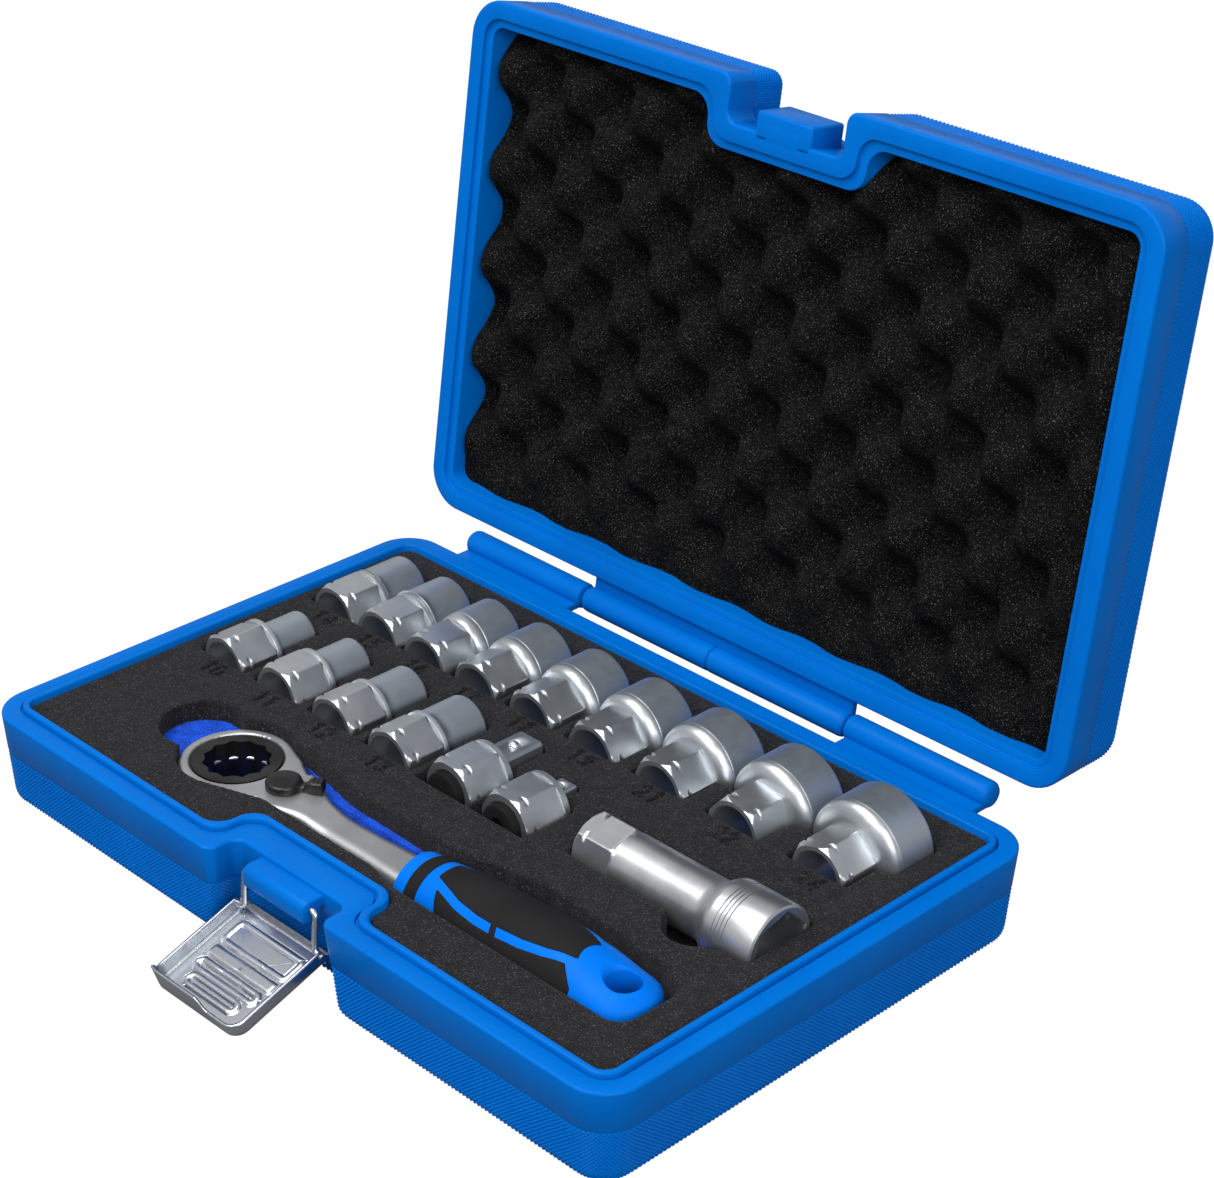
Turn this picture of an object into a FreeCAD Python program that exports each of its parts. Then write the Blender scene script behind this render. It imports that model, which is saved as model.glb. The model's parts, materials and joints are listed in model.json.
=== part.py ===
import FreeCAD, Part
import math
import os

# Socket wrench set in a hinged case. Millimetres and degrees.
# X runs along the hinge, -Y is the latch side and Z is up from the underside of the base.

V = FreeCAD.Vector
ORIGIN = V(0, 0, 0)
AXIS_X = V(1, 0, 0)
AXIS_Y = V(0, 1, 0)
AXIS_Z = V(0, 0, 1)
ALONG_X = FreeCAD.Rotation(AXIS_Y, 90)
ALONG_Y = FreeCAD.Rotation(AXIS_X, -90)
UPRIGHT = FreeCAD.Rotation()

FRONT_SIZES = (10, 11, 12, 13)
BACK_SIZES = (14, 15, 16, 17, 18, 19, 21, 22, 24)
# How far each drive hexagon is rolled in its pocket, in degrees
ROLL = {10: 42, 11: 62, 12: 42, 13: 40, 14: 66, 15: 68, 16: 66, 17: 40, 18: 42, 19: 55, 21: 52, 22: 70, 24: 45}

SIZES = (
    # Case shells
    ("case_length", 250),
    ("case_width", 160.5),
    ("base_depth", 29),
    ("lid_depth", 27),
    ("parting_gap", 0.3),
    ("plan_corner", 12),
    ("edge_round", 4),
    ("wall_draft", 2),
    ("skin", 3),
    ("ledge_width", 5.4),
    ("groove_width", 0.6),
    ("groove_depth", 0.8),
    ("lip_width", 2.1),
    ("lip_rise", 1.2),
    ("lip_clearance", 0.5),
    # Front notches and catch block
    ("notch_half", 22.4),
    ("notch_depth", 9.7),
    ("notch_round", 3.5),
    ("lid_notch_half", 21),
    ("lid_notch_depth", 13.2),
    ("catch_half", 10.2),
    ("catch_reach", 5.8),
    ("catch_height", 13.5),
    # Hinge
    ("hinge_back", 7.64),
    ("hinge_rise", 1.15),
    ("knuckle_radius", 4),
    ("knuckle_end", 104),
    ("knuckle_split", 53),
    ("knuckle_gap", 0.5),
    ("knuckle_cap", 2.5),
    ("web_thick", 2.5),
    ("pin_radius", 1.5),
    ("pin_clearance", 0.05),
    ("press_gap", 0.01),
    ("lid_open", 97.84),
    # Latch
    ("boss_half", 12.5),
    ("boss_radius", 2.8),
    ("boss_reach", 3.85),
    ("boss_drop", 4.2),
    ("wire_radius", 1),
    ("wire_clearance", 0.06),
    ("wire_bend", 1.7),
    ("bail_length", 11.6),
    ("bail_half", 14.5),
    ("bail_lean", 5),
    ("plate_half", 17.5),
    ("plate_skin", 0.8),
    ("plate_floor_drop", 2.2),
    ("flange_height", 4),
    ("plate_near", 2),
    ("plate_pitch", 19),
    ("hook_depth", 7.3),
    ("hook_gap", 0.3),
    ("hook_right", 6),
    # Foam
    ("backing_top", 11),
    ("foam_top", 28.5),
    ("foam_fit", 0.25),
    ("pocket_gap", 0.6),
    ("seat_gap", 0.3),
    ("floor_least", 0.5),
    ("hang_room_step", 3),
    ("grip_room_from", 33),
    ("collar_room", 0.5),
    ("neck_room_from", 14),
    ("soft_bend_share", 0.47),
    ("lip_round_share", 0.4),
    ("knuckle_round_share", 0.5),
    ("web_offset", 0.2),
    ("pin_play", 0.4),
    ("bail_tail_share", 0.6),
    ("coil_share", 0.6),
    ("coil_reach", 0.15),
    ("head_round", 1.2),
    ("shank_round_share", 0.3),
    ("snap_slot_reach", 2),
    ("snap_slot_width", 3),
    ("lever_tail_rise", 0.8),
    ("detent_sink", 0.6),
    ("detent_play", 0.15),
    ("pawl_wall", 1.6),
    ("largest_flats", 24),
    ("strip_margin", 2.2),
    ("block_least", 0.3),
    ("finger_x", -76),
    ("finger_y", -41),
    ("finger_radius", 12),
    ("thumb_x", 88.5),
    ("thumb_y", -11.5),
    ("thumb_radius", 9.3),
    ("shank_room", 2.6),
    ("grip_room", 7.5),
    ("crate_slab", 7),
    ("crate_recess", 1.5),
    ("crate_pitch_x", 28),
    ("crate_pitch_y", 29.5),
    ("crate_root", 9.5),
    ("crate_tip", 5),
    # Sockets
    ("hex_flats", 17),
    ("hex_length", 13),
    ("hex_land", 0.2),
    ("socket_length", 30),
    ("collar_radius", 9.4),
    ("collar_length", 2),
    ("shoulder_length", 3),
    ("drive_bore", 14),
    ("drive_bore_depth", 11),
    ("stud_share", 0.85),
    ("mouth_fit", 0.2),
    ("mouth_depth", 12),
    ("mouth_chamfer", 0.8),
    ("edge_notch", 0.8),
    ("edge_notch_from", 3.2),
    ("barrel_ratio", 1.2),
    ("barrel_add", 1.5),
    ("row_gap", 0.7),
    ("back_row_right", 92.85),
    ("back_row_front", 28.7),
    ("front_row_left", -100.5),
    ("front_row_front", -14.2),
    ("front_pitch", 24.4),
    # Square drive adaptors
    ("adaptor_left", -3.6),
    ("adaptor_pitch", 22.3),
    ("adaptor_front", -13),
    ("adaptor_hex_length", 14),
    ("adaptor_collar", 2),
    ("large_square", 9.53),
    ("large_square_length", 15.5),
    ("large_ball", 1.7),
    ("large_well", 6),
    ("small_square", 6.35),
    ("small_square_length", 8.5),
    ("small_ball", 1.1),
    ("small_well", 4.2),
    ("ball_sink_share", 0.35),
    ("ball_clearance", 0.05),
    ("ball_from_end_share", 0.45),
    ("plug_radius", 6.4),
    ("plug_length", 9),
    ("plug_proud", 2.5),
    ("coil_wire_share", 0.12),
    # Extension bar
    ("bar_left", 42),
    ("bar_y", -2),
    ("bar_length", 66),
    ("bar_hex_length", 13),
    ("bar_radius", 8.8),
    ("bar_flare_radius", 11.9),
    ("bar_flare_length", 16),
    ("bar_cone_length", 6),
    ("bar_bore_radius", 6),
    ("bar_mouth_depth", 15),
    ("bar_ring_from_end", 6),
    ("spring_wire", 0.6),
    ("spring_clearance", 0.08),
    # Ratchet wrench
    ("ring_x", -57),
    ("wrench_y", -43.5),
    ("head_radius", 16.3),
    ("head_thick", 11.5),
    ("neck_radius", 9.5),
    ("shank_width", 12),
    ("shank_thick", 7),
    ("tang_width", 8),
    ("tang_thick", 5),
    ("tang_length", 45),
    ("ring_radius", 13.2),
    ("ring_clearance", 0.06),
    ("ring_points", 17.2),
    ("ring_seat", 1.2),
    ("ring_seat_width", 1.1),
    ("ring_end_gap", 0.15),
    ("tooth_count", 72),
    ("tooth_depth", 0.5),
    ("tooth_band", 6),
    ("snap_from_top", 0.6),
    ("snap_width", 0.9),
    ("snap_in", 0.5),
    ("snap_out", 0.7),
    ("snap_gap", 0.08),
    ("lever_from_ring", 20.6),
    ("lever_disc", 5.2),
    ("lever_reach", 11.5),
    ("lever_tail_width", 3.6),
    ("lever_thick", 2.4),
    ("lever_lift", 0.15),
    ("lever_rest", 33),
    ("spindle_radius", 2),
    ("spindle_clearance", 0.05),
    ("pawl_clearance", 0.3),
    ("pawl_half_angle", 38),
    ("pawl_height", 5.8),
    ("pawl_room", 0.7),
    ("detent_radius", 0.9),
    ("detent_from", 3.6),
    ("detent_depth", 2.3),
    ("handle_left", 19),
    ("handle_length", 85),
    ("handle_width", 18),
    ("handle_height", 18.6),
    ("grip_start", 7),
    ("grip_stop", 67),
    ("grip_thick", 1.5),
    ("hang_from_end", 9.5),
    ("hang_radius", 4.7),
)

# Sizes that follow from the ones above
DERIVED = (
    ("cavity_inset", "ledge_width + groove_width + lip_width"),
    ("parting", "base_depth + parting_gap"),
    ("hinge_y", "case_width / 2 + hinge_back"),
    ("hinge_z", "base_depth + hinge_rise"),
    ("boss_y", "notch_depth - case_width / 2 - boss_reach"),
    ("boss_z", "base_depth - boss_drop"),
    ("rod_y", "boss_y - bail_length * sin(bail_lean)"),
    ("rod_z", "boss_z - bail_length * cos(bail_lean)"),
    ("hook_reach", "parting + catch_height + hook_gap - rod_z"),
    ("hex_corner", "hex_flats / sqrt(3)"),
    ("tool_axis_z", "backing_top + seat_gap + (largest_flats * barrel_ratio + barrel_add) / 2"),
    ("wrench_z", "backing_top + seat_gap + handle_height / 2"),
    ("head_top", "wrench_z + head_thick / 2"),
    ("head_bottom", "wrench_z - head_thick / 2"),
    ("lever_x", "ring_x + lever_from_ring"),
    ("ring_bore", "ring_radius + ring_clearance"),
    ("ring_base", "head_bottom + ring_seat + ring_end_gap"),
    ("ring_top", "head_top - ring_end_gap"),
    ("snap_z", "head_top - snap_from_top - snap_width"),
    ("pawl_reach", "lever_from_ring - ring_radius - pawl_clearance"),
    ("pawl_z", "wrench_z - pawl_height / 2"),
    ("pawl_roof", "wrench_z + pawl_height / 2 + ring_end_gap"),
    ("small_adaptor_x", "adaptor_left + adaptor_pitch"),
)

doc = FreeCAD.newDocument("socket_set")
sheet = doc.addObject("Spreadsheet::Sheet", "sizes")
row = 0


def cell(name, text):
    """Adds one named cell to the sheet."""
    global row
    row += 1
    sheet.set(f"A{row}", name)
    sheet.set(f"B{row}", text)
    sheet.setAlias(f"B{row}", name)


for name, value in SIZES:
    cell(name, str(value))
for flats in FRONT_SIZES + BACK_SIZES:
    cell(f"flats_{flats}", str(flats))
for name, formula in DERIVED:
    cell(name, "=" + formula)
for flats in FRONT_SIZES + BACK_SIZES:
    cell(f"barrel_{flats}", f"=(flats_{flats} * barrel_ratio + barrel_add) / 2")
    cell(f"room_{flats}", f"=max(barrel_{flats}; hex_corner)")
for number, flats in enumerate(FRONT_SIZES):
    cell(f"place_{flats}", f"=front_row_left + {number} * front_pitch")
after = None
for flats in reversed(BACK_SIZES):
    if after is None:
        cell(f"place_{flats}", "=back_row_right")
    else:
        cell(f"place_{flats}", f"=place_{after} - room_{after} - room_{flats} - row_gap")
    after = flats
doc.recompute()


def size(name):
    """The value of a named cell."""
    return float(sheet.get(name))


nodes = []


def solid(kind, name, links, at=("0", "0", "0"), turn=UPRIGHT):
    """A primitive with its sizes and place bound to the sheet."""
    made = doc.addObject(kind, name)
    made.Placement = FreeCAD.Placement(ORIGIN, turn)
    for prop, text in links.items():
        made.setExpression(prop, text)
    for letter, text in zip("xyz", at):
        made.setExpression(f"Placement.Base.{letter}", text)
    return made


def box(name, lengths, at):
    """A box given by its three lengths and its low corner."""
    return solid("Part::Box", name, dict(zip(("Length", "Width", "Height"), lengths)), at)


def prism(name, corner, height, at, turn):
    """A hexagonal prism."""
    made = solid("Part::Prism", name, {"Circumradius": corner, "Height": height}, at, turn)
    made.Polygon = 6
    return made


def rod(name, radius, height, at, turn=UPRIGHT):
    """A round bar."""
    return solid("Part::Cylinder", name, {"Radius": radius, "Height": height}, at, turn)


def cone(name, first, last, height, at, turn=UPRIGHT):
    """A cone frustum."""
    return solid("Part::Cone", name, {"Radius1": first, "Radius2": last, "Height": height}, at, turn)


def hoop(name, radius, wire, at, turn=UPRIGHT):
    """A torus."""
    return solid("Part::Torus", name, {"Radius1": radius, "Radius2": wire}, at, turn)


def fuse(name, pieces):
    """The union of several objects."""
    made = doc.addObject("Part::MultiFuse", name)
    made.Shapes = pieces
    return made


def cut(name, base, tools):
    """The base with every tool taken away."""
    made = doc.addObject("Part::Cut", name)
    made.Base = base
    made.Tool = tools[0] if len(tools) == 1 else fuse(f"{name}_tools", tools)
    return made


def common(name, first, second):
    """What two objects share."""
    made = doc.addObject("Part::Common", name)
    made.Base = first
    made.Tool = second
    return made


def feature(name, shape):
    """An object whose shape is made by code from the sheet."""
    made = doc.addObject("Part::Feature", name)
    made.Shape = shape
    return made


def node(label, made):
    """Marks an object as a finished piece."""
    made.Label = label
    nodes.append(made)
    return made


def roll(angle):
    """A turn about the length of a piece that lies along Y."""
    return ALONG_Y.multiply(FreeCAD.Rotation(AXIS_Z, -angle))


# Outlines of the case


def rounded_loop(corners, z):
    """A closed wire through corners (x, y, radius)."""
    entries = []
    middles = []
    exits = []
    count = len(corners)
    for i in range(count):
        x, y, radius = corners[i]
        here = V(x, y, z)
        before = V(corners[i - 1][0], corners[i - 1][1], z)
        behind = V(corners[(i + 1) % count][0], corners[(i + 1) % count][1], z)
        inward = (here - before).normalize()
        outward = (behind - here).normalize()
        half_turn = inward.getAngle(outward) / 2
        reach = radius * math.tan(half_turn)
        side = (outward - inward).normalize()
        centre = here + side * (radius / math.cos(half_turn))
        entries.append(here - inward * reach)
        middles.append(centre - side * radius)
        exits.append(here + outward * reach)
    edges = []
    for i in range(count):
        edges.append(Part.Arc(entries[i], middles[i], exits[i]).toShape())
        edges.append(Part.LineSegment(exits[i], entries[(i + 1) % count]).toShape())
    return Part.Wire(edges)


def case_outline(inset, half, depth, bend, z):
    """The plan of the case at a height, set in from the outside, with its front notch."""
    long = size("case_length") / 2 - inset
    wide = size("case_width") / 2 - inset
    corner = max(size("plan_corner") - inset, 2)
    gap = half + inset
    back = depth - wide
    corners = (
        (-long, -wide, corner),
        (-gap, -wide, bend),
        (-gap, back, bend),
        (gap, back, bend),
        (gap, -wide, bend),
        (long, -wide, corner),
        (long, wide, corner),
        (-long, wide, corner),
    )
    return rounded_loop(corners, z)


def slab(wire, height):
    """A flat wire raised to a solid."""
    return Part.Face(wire).extrude(V(0, 0, height))


def shell_block(half, depth, z_rim, z_flat):
    """A case half without its hollow: drafted walls and a rounded outer edge."""
    radius = size("edge_round")
    draft = size("wall_draft")
    bend = size("notch_round")
    rise = z_rim - z_flat
    away = math.copysign(1, rise)
    wires = []
    steps = 5
    for i in range(steps + 1):
        angle = math.radians(90 * i / steps)
        lift = radius * (1 - math.cos(angle))
        inset = radius * (1 - math.sin(angle)) + draft * (1 - lift / abs(rise))
        wires.append(case_outline(inset, half, depth, bend, z_flat + away * lift))
    wires.append(case_outline(0, half, depth, bend, z_rim))
    return Part.makeLoft(wires, True, True)


def soft_bend(depth):
    """The radius of the S-curves where the inner lip goes round the notch."""
    return size("soft_bend_share") * depth


def hollow(inset, half, depth, z, height):
    """A block that fills the inside of the case up to the given inset."""
    return slab(case_outline(inset, half, depth, soft_bend(depth), z), height)


def bar_x(radius, x_from, x_to, y, z):
    """A round bar along X."""
    return Part.makeCylinder(radius, x_to - x_from, V(x_from, y, z), AXIS_X)


def end_rounded(bar, x_end, radius):
    """Rounds the edge of a bar at one end."""
    edges = [e for e in bar.Edges if abs(e.BoundBox.XMin - x_end) + abs(e.BoundBox.XMax - x_end) < 1e-6]
    return bar.makeFillet(radius, edges)


# Base shell, whose lip follows the notch of the lid
half_width = size("case_width") / 2
lid_half = size("lid_notch_half")
lid_notch = size("lid_notch_depth")
base_depth = size("base_depth")
notch_half = size("notch_half")
notch_depth = size("notch_depth")
ledge = size("ledge_width")
cavity = size("cavity_inset")
skin = size("skin")
hinge_y = size("hinge_y")
hinge_z = size("hinge_z")
knuckle = size("knuckle_radius")
parting = size("parting")

base = shell_block(notch_half, notch_depth, base_depth, 0)
groove_floor = base_depth - size("groove_depth")
groove = hollow(ledge, lid_half, lid_notch, groove_floor, base_depth)
lip_outside = ledge + size("groove_width")
lip = hollow(lip_outside, lid_half, lid_notch, groove_floor, size("groove_depth") + size("lip_rise"))
lip_top = base_depth + size("lip_rise")
lip = lip.makeFillet(size("lip_width") * size("lip_round_share"), [e for e in lip.Edges if e.BoundBox.ZMin > lip_top - 1e-6])
base = base.cut(groove).fuse(lip)
base = base.cut(hollow(cavity, lid_half, lid_notch, skin, base_depth))

boss_half = size("boss_half")
boss_y = size("boss_y")
boss_z = size("boss_z")
boss_radius = size("boss_radius")
notch_wall = notch_depth - half_width
boss = bar_x(boss_radius, -boss_half, boss_half, boss_y, boss_z)
tongue = Part.makeBox(2 * boss_half, notch_wall + skin - boss_y, boss_radius, V(-boss_half, boss_y, boss_z))
base = base.fuse(boss).fuse(tongue)
bail_hole = size("wire_radius") + size("wire_clearance")
base = base.cut(bar_x(bail_hole, -boss_half - 1, boss_half + 1, boss_y, boss_z))

split = size("knuckle_split")
knuckle_end = size("knuckle_end")
pin_end = knuckle_end - size("knuckle_cap")
web = size("web_thick")
for side in (-1, 1):
    low, high = sorted((side * split, side * knuckle_end))
    bar = end_rounded(bar_x(knuckle, low, high, hinge_y, hinge_z), side * knuckle_end, knuckle * size("knuckle_round_share"))
    web_low = hinge_z - knuckle + size("web_offset")
    shelf = Part.makeBox(high - low - 2, hinge_y - half_width + skin, web, V(low + 1, half_width - skin, web_low))
    bore_low, bore_high = sorted((side * (split - 1), side * pin_end))
    bore = bar_x(size("pin_radius") + size("press_gap"), bore_low, bore_high, hinge_y, hinge_z)
    base = base.fuse(shelf).fuse(bar).cut(bore)
node("base_shell", feature("base_shell", base.removeSplitter()))

# Lid shell, made shut and then swung open about the hinge
lid_flat = parting + size("lid_depth")
lid = shell_block(lid_half, lid_notch, parting, lid_flat)
recess = size("lip_rise") + size("lip_clearance") - size("parting_gap")
lid = lid.cut(hollow(ledge, lid_half, lid_notch, parting - 1, recess + 1))
lid_ceiling = lid_flat - skin
lid = lid.cut(hollow(cavity, lid_half, lid_notch, parting - 1, lid_ceiling - parting + 1))
catch_half = size("catch_half")
catch_root = lid_notch - half_width + skin
catch_front = lid_notch - half_width - size("catch_reach")
catch = Part.makeBox(2 * catch_half, catch_root - catch_front, size("catch_height"), V(-catch_half, catch_front, parting))
lid = lid.fuse(catch)
lid_bar_half = split - size("knuckle_gap")
lid_bar = bar_x(knuckle, -lid_bar_half, lid_bar_half, hinge_y, hinge_z)
lid_web = Part.makeBox(
    2 * lid_bar_half - 2,
    hinge_y - half_width + skin,
    web,
    V(1 - lid_bar_half, half_width - skin, hinge_z + knuckle - size("web_offset") - web),
)
pin_bore = bar_x(size("pin_radius") + size("pin_clearance"), -lid_bar_half - 1, lid_bar_half + 1, hinge_y, hinge_z)
lid = lid.fuse(lid_web).fuse(lid_bar).cut(pin_bore).removeSplitter()


def swing_open(name, shape):
    """Places a lid piece, made in the shut pose, in the open pose."""
    made = feature(name, shape)
    made.Placement = FreeCAD.Placement(ORIGIN, FreeCAD.Rotation(AXIS_X, -size("lid_open")), V(0, hinge_y, hinge_z))
    return node(name, made)


swing_open("lid_shell", lid)

# Egg-crate foam in the lid
foam_inset = cavity + size("foam_fit")
crate_slab = size("crate_slab")
crate_low = parting + size("crate_recess")
crate = hollow(foam_inset, lid_half, lid_notch, lid_ceiling - crate_slab, crate_slab)
crate_reach = lid_ceiling - crate_slab - crate_low
bumps = []
pitch_x = size("crate_pitch_x")
pitch_y = size("crate_pitch_y")
tip = size("crate_tip")
columns = int(size("case_length") / pitch_x)
rows = int(size("case_width") / pitch_y)
for i in range(2 * columns + 1):
    for j in range(2 * rows + 1):
        if (i + j) % 2 == 0:
            x = (i - columns) * pitch_x / 2
            y = (j - rows) * pitch_y / 2
            stem = Part.makeCone(size("crate_root"), tip, crate_reach - tip, V(x, y, lid_ceiling - crate_slab), -AXIS_Z)
            cap = Part.makeSphere(tip, V(x, y, crate_low + tip))
            bumps.append(stem.fuse(cap))
inside = hollow(foam_inset, lid_half, lid_notch, crate_low - 1, lid_ceiling - crate_low + 1)
crate = crate.multiFuse(bumps).common(inside)
swing_open("lid_foam", crate)

# Hinge pin
pin_length = "2 * (sizes.knuckle_end - sizes.knuckle_cap) - sizes.pin_play"
pin = rod("hinge_pin", "sizes.pin_radius", pin_length, (f"-({pin_length}) / 2", "sizes.hinge_y", "sizes.hinge_z"), ALONG_X)
node("hinge_pin", pin)

# Latch bail: one wire through the boss, down both sides and out into the plate
wire_radius = size("wire_radius")
bail_half = size("bail_half")
bail_length = size("bail_length")
tail = size("plate_half") + wire_radius * size("bail_tail_share")
bend = size("wire_bend")
arc_mid = bend * (1 - math.sqrt(0.5))


def bent_wire(corners, radius):
    """An open wire through flat corners, rounded at each of them."""
    edges = []
    start = corners[0]
    for i in range(1, len(corners) - 1):
        inward = (corners[i] - corners[i - 1]).normalize()
        outward = (corners[i + 1] - corners[i]).normalize()
        first = corners[i] - inward * radius
        last = corners[i] + outward * radius
        middle = corners[i] + (outward - inward) * arc_mid
        edges.append(Part.LineSegment(start, first).toShape())
        edges.append(Part.Arc(first, middle, last).toShape())
        start = last
    edges.append(Part.LineSegment(start, corners[-1]).toShape())
    return Part.Wire(edges)


bail_path = bent_wire(
    [
        V(-tail, bail_length, 0),
        V(-bail_half, bail_length, 0),
        V(-bail_half, 0, 0),
        V(bail_half, 0, 0),
        V(bail_half, bail_length, 0),
        V(tail, bail_length, 0),
    ],
    bend,
)
wire_end = Part.Wire(Part.makeCircle(wire_radius, V(-tail, bail_length, 0), AXIS_X))
bail = feature("latch_bail", bail_path.makePipeShell([wire_end], True, True))
bail.Placement = FreeCAD.Placement(V(0, boss_y, boss_z), FreeCAD.Rotation(AXIS_X, -90 - size("bail_lean")))
node("latch_bail", bail)

# Latch plate, made with its pivot at the origin and its far end towards -Y
plate_width = "2 * sizes.plate_half"
plate_run = "sizes.hook_reach + sizes.plate_skin + sizes.plate_near"
plate_far = "-sizes.hook_reach - sizes.plate_skin"
plate_low = "-sizes.plate_floor_drop - sizes.plate_skin"
flange_rise = "sizes.flange_height + sizes.plate_skin"
plate_floor = box("plate_floor", (plate_width, plate_run, "sizes.plate_skin"), ("-sizes.plate_half", plate_far, plate_low))
flange_size = ("sizes.plate_skin", plate_run, flange_rise)
flange_left = box("flange_left", flange_size, ("-sizes.plate_half", plate_far, plate_low))
flange_right = box("flange_right", flange_size, ("sizes.plate_half - sizes.plate_skin", plate_far, plate_low))
hook = box(
    "plate_hook",
    ("sizes.plate_half + sizes.hook_right", "sizes.plate_skin", "sizes.hook_depth + sizes.plate_skin"),
    ("-sizes.plate_half", plate_far, plate_low),
)
hook_lip = box("plate_hook_lip", (plate_width, "sizes.plate_skin", flange_rise), ("-sizes.plate_half", plate_far, plate_low))
plate_holes = rod(
    "plate_holes",
    "sizes.wire_radius + sizes.wire_clearance",
    f"{plate_width} + 2",
    ("-sizes.plate_half - 1", "0", "0"),
    ALONG_X,
)
plate = cut("latch_plate", fuse("plate_sheet", [plate_floor, flange_left, flange_right, hook, hook_lip]), [plate_holes])
plate.Placement = FreeCAD.Placement(ORIGIN, FreeCAD.Rotation(AXIS_X, size("plate_pitch")))
plate.setExpression("Placement.Base.y", "sizes.rod_y")
plate.setExpression("Placement.Base.z", "sizes.rod_z")
node("latch_plate", plate)

# Sockets


def drive_hexagon(tag, at, turn, length):
    """A drive hexagon with its chamfered end and the notches in its corners."""
    bar = prism(f"{tag}_hex", "sizes.hex_corner", length, at(0), turn)
    land = "sizes.hex_flats / 2 + sizes.hex_land"
    nose = cone(f"{tag}_nose", land, f"{land} + {length}", length, at(0), turn)
    corner_cut = hoop(f"{tag}_corners", "sizes.hex_corner", "sizes.edge_notch", at("sizes.edge_notch_from"), turn)
    return cut(f"{tag}_drive", common(f"{tag}_chamfered", bar, nose), [corner_cut])


def make_socket(flats, front):
    """One go-through socket lying along Y."""
    tag = f"socket_{flats}"
    radius = f"sizes.barrel_{flats}"
    turn = roll(ROLL[flats])

    def at(along):
        return (f"sizes.place_{flats}", f"{front} + {along}", "sizes.tool_axis_z")

    pieces = [drive_hexagon(tag, at, turn, "sizes.hex_length")]
    if size(f"barrel_{flats}") < size("hex_corner"):
        barrel_from = "sizes.hex_length + sizes.collar_length"
        pieces.append(rod(f"{tag}_collar", "sizes.collar_radius", "sizes.collar_length", at("sizes.hex_length"), turn))
    else:
        barrel_from = "sizes.hex_length + sizes.shoulder_length"
        pieces.append(
            cone(f"{tag}_shoulder", "sizes.collar_radius", radius, "sizes.shoulder_length", at("sizes.hex_length"), turn)
        )
    straight = f"sizes.socket_length - ({barrel_from}) - sizes.mouth_chamfer"
    pieces.append(rod(f"{tag}_barrel", radius, straight, at(barrel_from), turn))
    lip_from = "sizes.socket_length - sizes.mouth_chamfer"
    pieces.append(cone(f"{tag}_lip", radius, f"{radius} - sizes.mouth_chamfer", "sizes.mouth_chamfer", at(lip_from), turn))
    stud = f"min(sizes.drive_bore; sizes.flats_{flats} * sizes.stud_share) / 2"
    holes = [
        rod(f"{tag}_drive_bore", "sizes.drive_bore / 2", "sizes.drive_bore_depth + 1", at("-1"), turn),
        rod(f"{tag}_stud_bore", stud, "sizes.socket_length + 2", at("-1"), turn),
        prism(
            f"{tag}_mouth",
            f"(sizes.flats_{flats} + sizes.mouth_fit) / sqrt(3)",
            "sizes.mouth_depth + 1",
            at("sizes.socket_length - sizes.mouth_depth"),
            turn,
        ),
    ]
    node(tag, cut(tag, fuse(f"{tag}_solid", pieces), holes))


for flats in FRONT_SIZES:
    make_socket(flats, "sizes.front_row_front")
for flats in BACK_SIZES:
    make_socket(flats, "sizes.back_row_front")


# Square drive adaptors


def coil(radius, wire, length):
    """A compression spring whose wire starts at the origin's height."""
    turns = 4
    pitch = (length - 2 * wire) / turns
    path = Part.makeHelix(pitch, pitch * turns, radius)
    start = Part.Wire(Part.makeCircle(wire, V(radius, 0, 0), AXIS_Y))
    return Part.Wire(path).makePipeShell([start], True, True)


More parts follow.
